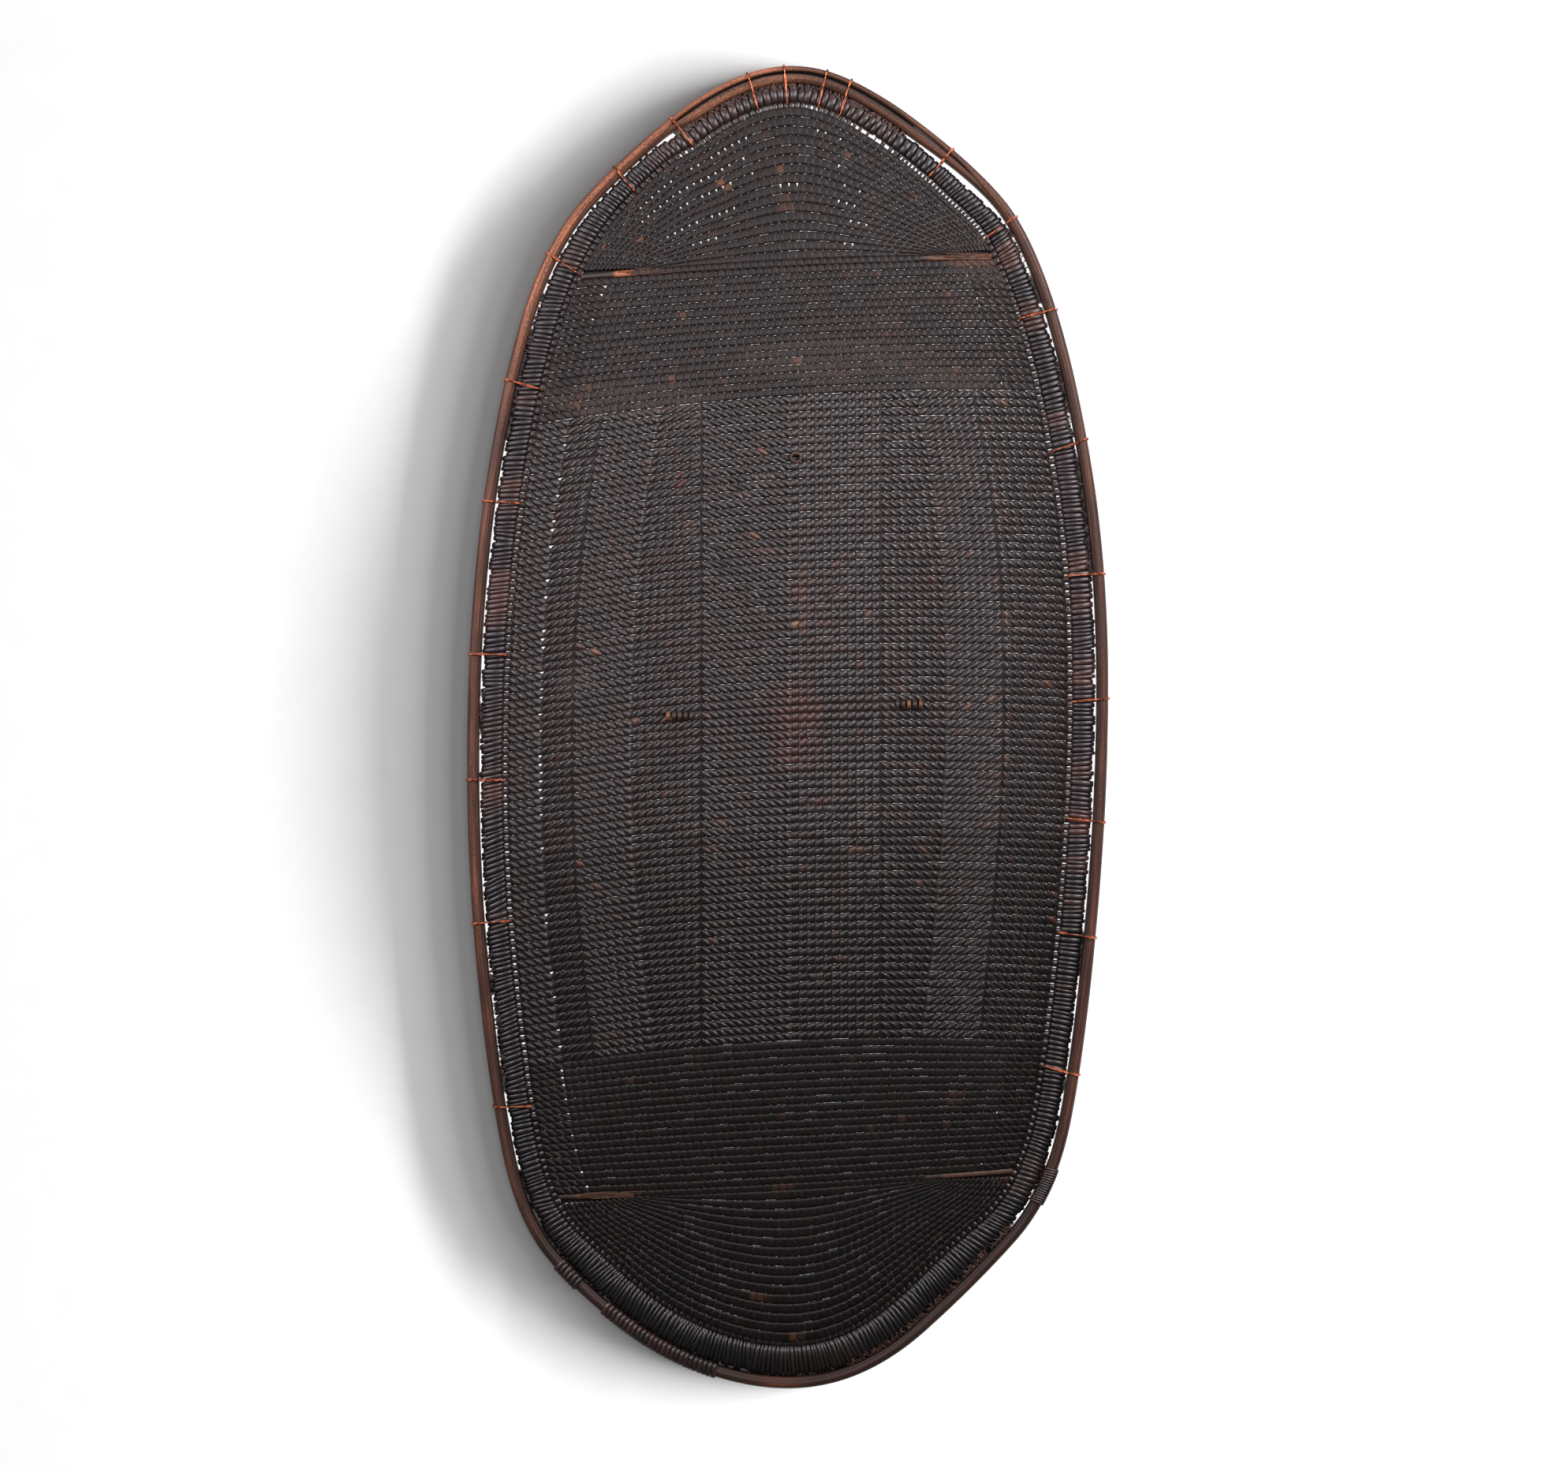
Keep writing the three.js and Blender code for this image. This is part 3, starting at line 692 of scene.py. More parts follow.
def layCap(gather, rodHeight, side, arcs):
    # rows that fan out from a cross rod; side is 1 above it and -1 below
    part, along = panelEdgeBetween(rodHeight, side)
    rows = weave["capRows"]
    seamL, seamR = weave["capSeam"]

    def between(share, depth):
        x = mix(seamL, seamR, share)
        seam = np.stack([x, rowY(x, rodHeight) + side * weave["rodRoom"]], -1)
        rim = np.stack([np.interp(share, along, part[:, k]) for k in range(2)], -1)
        return mix(seam, rim, depth)

    for row in range(rows):
        share = np.linspace(0, 1, 200)
        line = between(share, (row + 0.5) / rows)
        travelled = lengths(line)
        gap = between(share, (row + 1) / rows) - between(share, row / rows)
        run = unit(np.gradient(line, axis=0))
        halfs = np.abs(run[:, 0] * gap[:, 1] - run[:, 1] * gap[:, 0]) / 2

        def pathAt(s, travelled=travelled, line=line, run=run):
            inside = np.clip(s, 0, travelled[-1])
            point = np.stack([np.interp(inside, travelled, line[:, k]) for k in range(2)], -1)
            over = (s - inside)[..., None]
            return point + over * np.where(over > 0, run[-1], run[0])

        def halfAt(s, travelled=travelled, halfs=halfs):
            return np.interp(s, travelled, halfs)

        count = int(round(travelled[-1] / weave["capStitch"]))
        starts = np.linspace(0, travelled[-1], count + 1)
        starts[1:-1] += chance.normal(0, 0.25, count - 1)
        openings = np.ones(count + 1)
        for arcRow, start, end in arcs:
            if arcRow == row:
                inside = (starts > start * starts[-1]) & (starts < end * starts[-1])
                inside = inside & (chance.random(count + 1) < 0.8)
                openings = np.where(inside, chance.uniform(0.1, 0.5, count + 1), openings)
        rope(gather, pathAt, halfAt, starts, np.zeros(count), openings, smoothStitch)


for name, rodHeight, side, arcs in (
        ("woven_top_cap", upperRod, 1, openArcs), ("woven_bottom_cap", lowerRod, -1, [])):
    gather = Gather()
    layCap(gather, rodHeight, side, arcs)
    gather.make(name, smokedFinish, "woven_cane", "woven_panel")
print("caps woven")

# Stitches that cover the middle of each cross rod.
cover = {"half": 3.1, "lift": 0.5, "upper": (-140, 118), "lower": (-142, 123), "stitch": 7.0}
gather = Gather()
for rodHeight, ends in ((upperRod, cover["upper"]), (lowerRod, cover["lower"])):
    count = int(round((ends[1] - ends[0]) / cover["stitch"]))
    starts = np.linspace(ends[0], ends[1], count + 1)
    rope(gather, lambda x, h=rodHeight: np.stack([x, rowY(x, h)], -1),
         lambda x: np.full(np.shape(x), cover["half"]),
         starts, np.zeros(count), np.ones(count + 1), flatStitch, cover["lift"])
gather.make("seam_stitches", smokedFinish, "woven_cane", "woven_panel")

# Short stitches from the woven panel to the edge roll; daylight shows between them. Each stretch along
# the rim has its own spacing and the width of daylight left between two stitches.
link = {"halfHeight": 1.5, "overlap": 1.6, "top": 12.6, "inside": 0.3}
linkStretches = [
    (22, 7.0, 3.2), (60, 7.0, 1.4), (75, 7.0, 3.0), (113, 9.2, 6.4), (120, 7.0, 1.0), (240, 4.5, 1.7),
    (300, 7.4, 0.5), (470, 7.4, 1.2), (760, 7.4, 1.3), (1000, 7.4, 0.9), (1530, 7.4, 0.15),
    (1700, 7.4, 0.4), (1835, 7.4, 0.2), (2170, 7.4, 1.3), (2450, 7.4, 0.8), (2660, 7.4, 0.25),
    (2780, 7.2, 0.7), (2950, 7.0, 2.2),
]


def barSection(at, half, low, high, tangent):
    # a six-sided section lying across a short stitch
    side = np.array([-1, -0.6, 0.6, 1, 0.6, -0.6]) * half
    level = np.array([0, 1, 1, 0, -1, -1]) * (high - low) / 2 + (high + low) / 2
    return atHeight(at[:, None] + tangent * side[None, :, None], level)


gather = Gather()
distance = 0.0
while distance < rimLength:
    pitch, daylight = next(stretch[1:] for stretch in linkStretches if distance < stretch[0])
    daylight = daylight * (chance.uniform(0.3, 1.2) if distance > 240 else chance.uniform(0.7, 1.25))
    distance += pitch
    half = (pitch - daylight) / 2
    gap = edge["stitchGap"]
    insets = np.array([-link["overlap"], link["inside"], gap - link["inside"], gap + link["overlap"]])
    insets = insets + onRim(rollTo, distance)
    at = insetPoint(np.full(4, distance), insets)
    tangent = onRim(alongRim, distance)
    top = link["top"] + chance.uniform(-0.5, 0.3)
    # painted shade by height
    shade = chance.uniform(0.6, 1.1) * paintedShade(*at[0])
    gather.tube(barSection(at, half, top - 2 * link["halfHeight"], top, tangent), False,
                (shade, 0.0, 0.8, 0.1), (distance, 0.0, 0.3))
gather.make("edge_links", weaveFinish, "woven_cane", "woven_panel")
print("edge stitched")

rollLook = dict(caneLook, dark=tone(38, 33, 40), warm=tone(44, 33, 36), tan=tone(124, 86, 66), roughness=0.25)
rollFinish = wovenCane("black_roll_cane", rollLook, 0.8, 0.15)
roll = {
    "low": 2.4, "high": 15.2, "pitch": 4.3, "thick": 1.0, "lean": 0.07,
    "squareness": 2.7, "coreShrink": 1.7, "strandShrink": 0.9,
    "reach": 2.6,                          # how far a strand's outer end may stray towards the rim
    "topPitch": 7.4, "topReach": 150,      # broad flat strands round the shield's top
}
# Worn lengths of the roll: from and to along the rim, tan, red.
wornRoll = [
    (262, 285, 0.5, 0.2), (322, 345, 0.3, 0.4), (433, 440, 0.3, 0.3), (562, 580, 0.3, 0.3),
    (598, 610, 0.15, 0.3), (660, 680, 0.1, 0.4), (755, 765, 0.2, 0.4), (800, 815, 0.2, 0.4),
    (840, 850, 0.2, 0.3), (875, 890, 0.15, 0.4), (955, 965, 0.1, 0.5), (1030, 1036, 0.2, 0.3),
    (1125, 1160, 0.55, 0.2), (1385, 1460, 0.35, 0.1), (2015, 2030, 0.3, 0.2), (2130, 2150, 0.2, 0.4),
    (2297, 2345, 0.22, 0.3), (2405, 2430, 0.3, 0.2), (2500, 2510, 0.2, 0.3), (2640, 2665, 0.3, 0.2),
    (2770, 2810, 0.35, 0.2), (2810, 2938, 0.12, 0.4), (0, 112, 0.15, 0.4),
]
# How far the strands lean along the rim for each step across the roll.
leanDistances = [0, 1750, 1850, 2050, 2200, 2400, 2620, 2700, 2938]
leanAmounts = [0, 0, 0.12, 0.3, 0.2, 0.15, 0.2, 0, 0]
turn = roundAngles(12, -0.5 * math.pi)


def squircle(angle, power):
    # a rounded square of half size 1
    c, s = np.cos(angle), np.sin(angle)
    return np.sign(c) * np.abs(c) ** (2 / power), np.sign(s) * np.abs(s) ** (2 / power)


def rollSection(a, b, shrink):
    # insets and heights round the roll between two insets, drawn in all round
    cx, cz = squircle(turn, roll["squareness"])
    middle, half = (roll["low"] + roll["high"]) / 2, (roll["high"] - roll["low"]) / 2
    return (a + b) / 2 + ((b - a) / 2 - shrink) * cx, middle + (half - shrink) * cz


core = Gather()
distances = np.linspace(0, rimLength, 360, endpoint=False)[:, None]
inset, z = rollSection(onRim(rollFrom, distances), onRim(rollTo, distances), roll["coreShrink"])
core.tube(atHeight(insetPoint(distances, inset), z), True, (0.35, 0.0, 0.5, 0.0), (0.0, 0.0, 0.1))
core.make("edge_roll_core", rollFinish, "roll_cane", "edge_roll")

strand = {
    "across": np.array([-1.0, -0.62, 0.62, 1.0, 0.0]),
    "out": np.array([-0.45, 0.68, 0.68, -0.45, -0.9]),
    # crest paints shade on the edges of each strand
    "crest": np.array([0.25, 1.0, 1.0, 0.25, 0.0]),
    "overlap": 0.53,                       # a strand's half width as a share of its spacing
    "stationLength": 4.2,
}
gather = Gather()
distance = 0.0
group = 0
while distance < rimLength - 2:
    nearTop = min(distance, rimLength - distance) < roll["topReach"]
    wide = (roll["topPitch"] if nearTop else roll["pitch"]) * chance.uniform(0.72, 1.3)
    if group <= 0:
        group = int(chance.integers(3, 10))
        groupShade = chance.uniform(0.66, 1.25)
        groupLean = chance.normal(0, roll["lean"]) + np.interp(distance, leanDistances, leanAmounts)
        groupRed = chance.uniform(0, 0.07)
    group -= 1
    middle = distance + wide / 2
    lean = groupLean + chance.normal(0, 0.03)
    a = onRim(rollFrom, middle) - roll["reach"] * chance.uniform(0, 1) ** 0.5
    b = onRim(rollTo, middle)
    thick = roll["thick"] * chance.uniform(0.8, 1.1)
    bodyInset, bodyZ = rollSection(a, b, roll["strandShrink"] + chance.uniform(0.0, 0.35))
    if nearTop:
        # a groove splits the flat strands into two rows
        groove = np.exp(-((bodyInset - mix(a, b, 0.36)) / 1.6) ** 2)
        bodyZ = bodyZ - 0.9 * groove * (bodyZ > 8)
    out = strand["out"] * thick
    inset = bodyInset[:, None] + np.cos(turn)[:, None] * out
    z = bodyZ[:, None] + np.sin(turn)[:, None] * out
    sideways = strand["across"] * wide * strand["overlap"] + (lean * (inset - (a + b) / 2))
    level = insetPoint(middle + sideways, inset)
    x, y = insetPoint(middle, (a + b) / 2)
    tan, red = 0.0, groupRed
    for start, end, tanHere, redHere in wornRoll:
        share = fade(middle, start, end, 6.0) * chance.uniform(0.4, 1.0)
        tan, red = max(tan, tanHere * share), max(red, redHere * share)
    # painted shade by height
    shade = groupShade * chance.uniform(0.85, 1.15) * paintedShade(x * 0.8, y)
    travelled = np.arange(len(turn))[:, None] * strand["stationLength"] + chance.uniform(0, 900)
    grain = packed(travelled, strand["across"] * wide / 2, 0.08)
    gather.tube(atHeight(level, z), True, packed(shade, tan, strand["crest"], red), grain)
    distance += wide
# Frayed fibres fill the space between the roll and the rim on some stretches: from, to, how many, tan.
frayed = [
    (1190, 1392, 190, 0.45), (2806, 2936, 120, 0.6), (0, 116, 100, 0.4), (250, 300, 18, 0.15),
    (385, 580, 40, 0.05), (1870, 2000, 40, 0.05), (2195, 2235, 16, 0.05), (2465, 2600, 30, 0.05),
]
frayedFibre = {"high": 14.6, "fall": 1.4, "thick": 0.35, "tuck": 0.4}
for start, end, count, tan in frayed:
    for place in chance.uniform(start, end, count):
        rollEnd = onRim(rollFrom, place) + chance.uniform(0.5, 4.5)
        rimEnd = edge["rimWidth"] - frayedFibre["tuck"] + partedBy(place, "partCane")
        line = np.linspace(0, 1, 5)
        along = place + chance.normal(0, 3.0) * line + chance.normal(0, 0.4, 5)
        bow = frayedFibre["high"] - frayedFibre["fall"] * (1 - line)
        bow = bow + chance.uniform(-1.0, 0.8) * np.sin(line * math.pi)
        ring = roundAngles(5)
        half = chance.uniform(0.35, 0.8)
        level = insetPoint(along[:, None] + np.cos(ring) * half, mix(rimEnd, rollEnd, line)[:, None])
        tint = (chance.uniform(0.4, 1.0), tan * chance.uniform(0.2, 1.2), 0.9, 0.2)
        z = bow[:, None] + np.sin(ring) * frayedFibre["thick"]
        gather.tube(atHeight(level, z), False, tint, (place, 0.0, 0.2))
gather.make("edge_roll_strands", rollFinish, "roll_cane", "edge_roll")
print("edge roll wound")

barkLook = {
    "bark": tone(122, 70, 50), "deep": tone(76, 43, 32), "paleTan": tone(190, 124, 84), "soot": tone(42, 27, 20),
    "roughness": 0.42,
}


def rimBark(name, look):
    # smooth bent cane: long fine streaks, soot in the hollows and a paler tan crest
    material, shader, s = newFinish(name)
    streak = speckle(s["grain"] * (0.012, 0.5, 0.0), 1.0, 5.0, 0.65)
    cloud = speckle(s["grain"] * (0.02, 0.06, 0.0), 1.0, 4.0)
    fleck = speckle(s["grain"] * (0.35, 1.2, 0.0), 1.0, 3.0)
    colour = cloud.between(0.32, 0.66).choose(look["deep"], look["bark"])
    colour = colour.towards(look["paleTan"], s["tan"] * fleck.between(0.42, 0.66))
    colour = colour * (0.4 + 1.15 * streak.between(0.33, 0.67))
    colour = colour.towards(look["soot"], s["red"])
    colour = colour.towards(look["soot"], fleck.between(0.6, 0.74) * 0.6)
    colour = colour * s["bright"]
    roughness = look["roughness"] + 0.25 * fleck
    shader.inputs["Specular IOR Level"].default_value = 0.35
    finishWith(shader, colour, roughness, streak + 0.4 * fleck, 0.00025, 0.08)
    return material


rimFinish = rimBark("smoked_rim_cane", barkLook)
innerFinish = rimBark("smoked_inner_cane", dict(barkLook, bark=tone(108, 70, 54)))
bindingLook = dict(caneLook, dark=tone(26, 22, 22), warm=tone(34, 25, 22))
bindingFinish = wovenCane("black_binding_cane", bindingLook, 0.8, 0.1)

rim = {
    "outer": (0.0, 5.6, 17.0), "inner": (5.8, 11.0, 16.6),       # inset from, inset to, height
    "steps": 720, "around": 14,
    "liftReach": 45, "lift": 2.0,      # the canes rise where a sleeve passes under them
    "sinkBeside": 0.9,                 # the inner cane is this much lower away from the top
    "paleCrestAt": 0.45 * math.pi, "paleCrestSpread": 0.8,    # the crest where the cane is coloured paler tan, more so round the top
}
# Sleeves on the rim: from and to along it, and the spacing and half thickness of their strands.
sleeves = {
    "corner_cuff": (1125, 1160, 2.3, 0.62),
    "long_lower_wrapping": (1522, 1642, 4.6, 0.75),
    "short_lower_wrapping": (1673, 1700, 4.6, 0.75),
}
seamDistance = sum(sleeves["corner_cuff"][:2]) / 2
ringDistances = seamDistance + np.linspace(0, rimLength, rim["steps"], endpoint=False)
clockDistances = ringDistances % rimLength
aroundCane = roundAngles(rim["around"], -0.5 * math.pi)
lifted = np.zeros(rim["steps"])
for start, end in [sleeve[:2] for sleeve in sleeves.values()]:
    lifted = np.maximum(lifted, rim["lift"] * fade(clockDistances, start, end, rim["liftReach"]))
signedDistances = (clockDistances + rimLength / 2) % rimLength - rimLength / 2
parted = parting(clockDistances, edge["partCane"])
burnt = np.maximum.reduce([
    0.75 * fade(clockDistances, 1165, 1420, 60), 0.8 * fade(clockDistances, 1500, 1720, 40),
    0.35 * fade(clockDistances, 1720, 1900, 60), 0.5 * fade(signedDistances, 0, 90, 40),
])


def bentCane(name, finish, node, size, inward, wider, shade, paleTan, wobble, meets, fall, spread):
    # away from the top the outer cane spreads over the inner one, which sinks beside it; meets is the side
    # where the two touch, 1 for the inner side
    start, end, height = size
    apart = np.minimum(parted * 3, 1)
    start = start + inward * parted
    end = end + (inward + wider) * parted + spread * (1 - apart)
    height = height - (rim["sinkBeside"] * (1 - apart) if meets < 0 else 0)
    wave = [wander(clockDistances, spacing, wobble) for spacing in (38, 110)]
    slim = np.abs(wave[0]) + np.abs(wave[1])
    middle = (start + end) / 2
    half = (end - start) / 2 - 0.5 * slim
    up = (height - slim * 0.6 - lifted) / 2
    # square where the canes meet, round on the outside, and falling a little towards the inner side
    cx, cz = squircle(aroundCane, np.where(np.cos(aroundCane) * meets > 0, 7.0, 2.6))
    inset = middle[:, None] + half[:, None] * cx
    z = (lifted + up)[:, None] + up[:, None] * cz - fall * (cx + 1) * (cz > 0)
    # painted shade: each cane is coloured darker on its underside and towards its two sides, as a rounded
    # cane is shaded
    bright = shade[:, None] * (0.45 + 0.55 * smoothStep((cz + 0.5) / 1.4)) * (1 - 0.4 * np.abs(cx) ** 4)
    paleCrest = paleTan[:, None] * np.exp(-((aroundCane - rim["paleCrestAt"]) / rim["paleCrestSpread"]) ** 2)
    tint = packed(bright, paleCrest, 1.0, burnt[:, None])
    grain = packed(ringDistances[:, None], np.arange(rim["around"]) * 3.1 + 90 * size[2], 0.0)
    gather = Gather()
    gather.tube(atHeight(insetPoint(clockDistances[:, None], inset), z), True, tint, grain)
    gather.make(name, finish, "rim_cane", node)


topGlow = fade(signedDistances, -420, 330, 90)
rightSide = fade(clockDistances, 300, 1120, 160)
upperLeft = fade(signedDistances, -340, -35, 70)
outerShade = 0.48 + 0.64 * upperLeft - 0.16 * rightSide
outerShade = outerShade * (1 + wander(clockDistances, 60, 0.22))
innerShade = 0.4 + 0.4 * upperLeft + 0.12 * parted - 0.1 * rightSide
innerShade = innerShade * (1 + wander(clockDistances, 50, 0.25))
bentCane("outer_cane", rimFinish, "outer_rim_cane", rim["outer"], 0, 0, outerShade,
         0.45 + 0.35 * topGlow, 0.2, 1, 0.1, 2.9)
bentCane("inner_cane", innerFinish, "inner_rim_cane", rim["inner"], edge["partGap"], edge["partFuller"],
         innerShade, 0.25 + 0.75 * parted, 0.12, -1, 0.7, 0.0)
print("rim canes bent")


def rounded(path, times):
    # cuts the corners of a closed path; each pass doubles its points
    path = np.asarray(path, float)
    for _ in range(times):
        ahead = np.roll(path, -1, 0)
        path = np.stack([mix(path, ahead, 0.25), mix(path, ahead, 0.75)], 1).reshape(-1, path.shape[1])
    return path


def loopAcross(gather, distance, path, half, thick, lean, tint, twist=0.0):
    # a flat or round strand along a closed path of inset and height across the rim
    outward = alongAndOut(path)[1]
    angle = roundAngles(6) + math.pi / 6
    across = np.cos(angle) * half
    out = np.sin(angle) * thick
    inset = path[:, :1] + outward[:, :1] * out
    z = path[:, 1:] + outward[:, 1:] * out
    sideways = across + lean * (path[:, :1] - path[:, 0].mean()) + twist
    grain = packed(np.arange(len(path))[:, None] * 3.0 + chance.uniform(0, 900), across, 0.05)
    gather.tube(atHeight(insetPoint(distance + sideways, inset), z), True, tint, grain)


# Strands wound side by side round both rim canes.
winding = {"low": 0.75, "beyond": 0.85, "over": 0.75, "halfWidth": 0.55, "lean": 0.1}
outside = -winding["beyond"]
inside = edge["rimWidth"] + winding["beyond"]
low = winding["low"]
top = rim["outer"][2] + winding["over"]
windingPath = rounded([(outside, low), (inside, low), (inside, top - 1.2), (inside - 3, top),
                       (outside + 1.5, top), (outside, top - 2)], 1)
for name, (start, end, pitch, thick) in sleeves.items():
    gather = Gather()
    count = int(round((end - start) / pitch))
    for k in range(count):
        at = start + (k + 0.5) * (end - start) / count
        shade = chance.uniform(0.7, 1.25)
        halfThick = thick * chance.uniform(0.85, 1.05)
        lean = winding["lean"] + chance.normal(0, 0.02)
        tint = packed(shade, 0.0, 0.85, chance.uniform(0, 0.25))
        loopAcross(gather, at, windingPath, pitch * winding["halfWidth"], halfThick, lean, tint)
    gather.make(f"{name}_strands", bindingFinish, "black_binding", name)
print("sleeves wound")

metalLook = {"bright": tone(222, 128, 88), "dull": tone(92, 46, 34)}


def copperWire(name, look):
    material, shader, s = newFinish(name)
    stain = speckle(s["place"], 0.25, 4.0)
    scratch = speckle(s["place"], 2.5, 2.0)
    colour = stain.between(0.36, 0.6).choose(look["dull"], look["bright"])
    colour = colour * s["bright"] * (0.75 + 0.5 * scratch)
    finishWith(shader, colour, 0.28 + 0.25 * scratch, scratch, 0.00008, 0.0, 0.75)
    return material


wireFinish = copperWire("copper_wire", metalLook)
wire = {
    "radius": 0.6, "strandRadius": 0.5, "clearance": 0.35, "apart": 0.62, "turns": [4, 5, 6], "lean": 0.09,
}
wireDistances = [25, 50, 160, 245, 335, 460, 580, 695, 805, 910, 1035,
                 1855, 2025, 2155, 2270, 2410, 2520, 2640, 2740, 2810, 2890, 2925]
for number, distance in enumerate(wireDistances, 1):
    low = wire["radius"] + wire["clearance"]
    far = onRim(rollTo, distance) + edge["stitchGap"] / 2
    inner = edge["rimWidth"] + 1 + partedBy(distance, "partCane")
    overRim = rim["outer"][2] + low
    overRoll = roll["high"] + low
    path = rounded([
        (-low, low), (-low, rim["outer"][2] - 1), (1.4, overRim), (rim["outer"][1], overRim),
        (inner, overRoll + 0.6), (far - 3, overRoll - 0.2), (far, roll["high"] - 2.5),
        (far, roll["low"] + 1.5), (far - 2, low), (inner, low),
    ], 2)
    gather = Gather()
    lean = chance.normal(0, wire["lean"])
    turns = chance.choice(wire["turns"])
    for side in (-1, 1):
        phase = np.arange(len(path))[:, None] / len(path) * 2 * math.pi * turns
        twist = side * wire["apart"] * (0.6 + 0.55 * np.cos(phase))
        tint = packed(chance.uniform(0.8, 1.2), 0.0, 1.0, 0.0)
        loopAcross(gather, distance, path, wire["strandRadius"], wire["strandRadius"], lean, tint, twist)
    gather.make(f"copper_tie_{number}", wireFinish, "copper_wire", f"wire_tie_{number}")
print("ties twisted")

strandLook = dict(
    caneLook, dark=tone(84, 60, 48), warm=tone(64, 45, 38), tan=tone(186, 116, 74), roughness=0.45)
strandFinish = wovenCane("brown_split_cane", strandLook, 0.6, 0.05)
rods = {"half": 2.9, "radius": 2.0, "sunk": 3.1, "steps": 300, "around": 10}
# A dark strip under each rod, coloured as painted shade, keeps daylight out of the seam so it reads as
# shadow: half width, top and bottom below the panel.
backing = {"half": 6, "top": -4.4, "bottom": -6.4}
looseFibre = {"long": (12, 34), "astray": 3.2, "halfWide": 0.42, "halfThick": 0.3}
# Each rod's height, where its bark is gone as from x, to x and tan, how many loose fibres lie along it, and
# which of those bare places they take in turn.
crossRods = {
    "upper_cross_rod": (upperRod, [(-156, -120, 0.9), (128, 236, 0.25), (-205, -190, 0.2)], 40, [0, 1, 1, 1]),
    "lower_cross_rod": (lowerRod, [(-190, -140, 0.3), (140, 200, 0.2)], 16, [0]),
}
for name, (rodHeight, bare, fibres, turns) in crossRods.items():
    xL, xR = rowEnds(rodHeight)
    x = np.linspace(xL + 1, xR - 1, rods["steps"])
    y = rowY(x, rodHeight)
    surface = domeTop(x, y)
    tan = np.zeros(len(x))
    for start, end, amount in bare:
        tan = np.maximum(tan, amount * fade(x, start, end, 5))
    flare = 0.82 + 0.1 * tan + np.interp(x, np.linspace(xL, xR, 60), chance.uniform(-0.14, 0.08, 60))
    x, y, surface, tan, flare = [values[:, None] for values in (x, y, surface, tan, flare)]
    gather = Gather()
    across = np.array([1, 1, -1, -1]) * backing["half"]
    below = np.array([backing[side] for side in ("top", "bottom", "bottom", "top")])
    # the strip's dark colour is painted shade
    gather.tube(packed(x, y + across, surface + below), False, (0.15, 0.0, 0.3, 0.0), packed(x, across, 0.1))
    angle = roundAngles(rods["around"])
    rodY = y + np.cos(angle) * rods["half"] * flare ** 0.3
    rodZ = surface - rods["sunk"] + np.sin(angle) * rods["radius"] * flare + 0.6 * tan
    tint = packed(0.35 + 0.5 * tan, tan, 1.0, 0.0)
    gather.tube(packed(x, rodY, rodZ), False, tint, packed(x, angle * 2.2, 0.1))
    for k in range(fibres):
        start, end, _ = bare[turns[k % len(turns)]]
        begin = chance.uniform(start, end - 12)
        x = np.linspace(begin, begin + chance.uniform(*looseFibre["long"]), 8)
        x = np.clip(x, xL + 2, xR - 2)
        y = rowY(x, rodHeight) + chance.uniform(-looseFibre["astray"], looseFibre["astray"])
        y = y + chance.normal(0, 0.3, 8).cumsum() * 0.4
        z = domeTop(x, y) + chance.uniform(-0.4, 0.35)
        ring = roundAngles(4)
        body = packed(x[:, None], y[:, None] + np.cos(ring) * looseFibre["halfWide"],
                      z[:, None] + np.sin(ring) * looseFibre["halfThick"])
        tint = (chance.uniform(0.4, 0.9), chance.uniform(0.0, 0.5), 1.0, 0.1)
        gather.tube(body, False, tint, (begin, 0.0, 0.1))
    gather.make(f"{name}_cane", strandFinish, "rod_cane", name)

# Two turns of a strand round the small hole: how far outside it, half thickness, height and squash.
holeTurns = [(1.5, 0.95, 0.75, 1.0), (1.9, 0.7, 1.35, 0.8)]
gather = Gather()
angle = roundAngles(28)[:, None]
small = roundAngles(8)
holeTop = domeTop(hole["x"], hole["y"])
for beyond, thick, rise, squash in holeTurns:
    around = hole["radius"] + beyond + np.cos(small) * thick
    x = hole["x"] + np.cos(angle) * around * 1.05
    y = hole["y"] + np.sin(angle) * around * squash
    z = holeTop + rise + np.sin(small) * thick * 0.8 + 0.25 * np.sin(3 * angle)
    gather.tube(packed(x, y, z), True, (0.62, 0.12, 1.0, 0.35), packed(angle * 4, small * 0.8, 0.05))
gather.make("hole_binding_strand", strandFinish, "brown_strand", "hole_binding")

# Each lashing is a few strands side by side through the panel and round an end of the grip.
lashingHalf = 0.6
for side, tans in (("left", [0.45, 0.0, 0.1, 0.0, 0.1]), ("right", [0.05, 0.0, 0.45, 0.0, 0.35])):
    low, high = [np.array(corner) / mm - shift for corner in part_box(f"{side}_grip_lashing")]
    gather = Gather()
    wide = (high[0] - low[0]) / len(tans)
    inner, outer = low[1:] + lashingHalf, high[1:] - lashingHalf
    path = rounded([inner, (outer[0], inner[1]), outer, (inner[0], outer[1])], 2)
    outward = alongAndOut(path)[1]
    ring = roundAngles(6)
    up = np.sin(ring) * lashingHalf
    for k, tan in enumerate(tans):
        across = np.cos(ring) * wide * chance.uniform(0.3, 0.44)
        body = packed(low[0] + (k + 0.5) * wide + across, path[:, :1] + outward[:, :1] * up,
                      path[:, 1:] + outward[:, 1:] * up)
        gather.tube(body, True, (0.35 + 0.6 * tan, tan, 0.9, 0.3 * tan),
                    packed(np.arange(len(path))[:, None] * 2.0, across, 0.05))
    gather.make(f"{side}_lashing_strands", strandFinish, "brown_strand", f"{side}_grip_lashing")
print("rods, binding and lashings laid")

woodLook = {"dark": tone(70, 44, 32), "light": tone(128, 84, 56)}


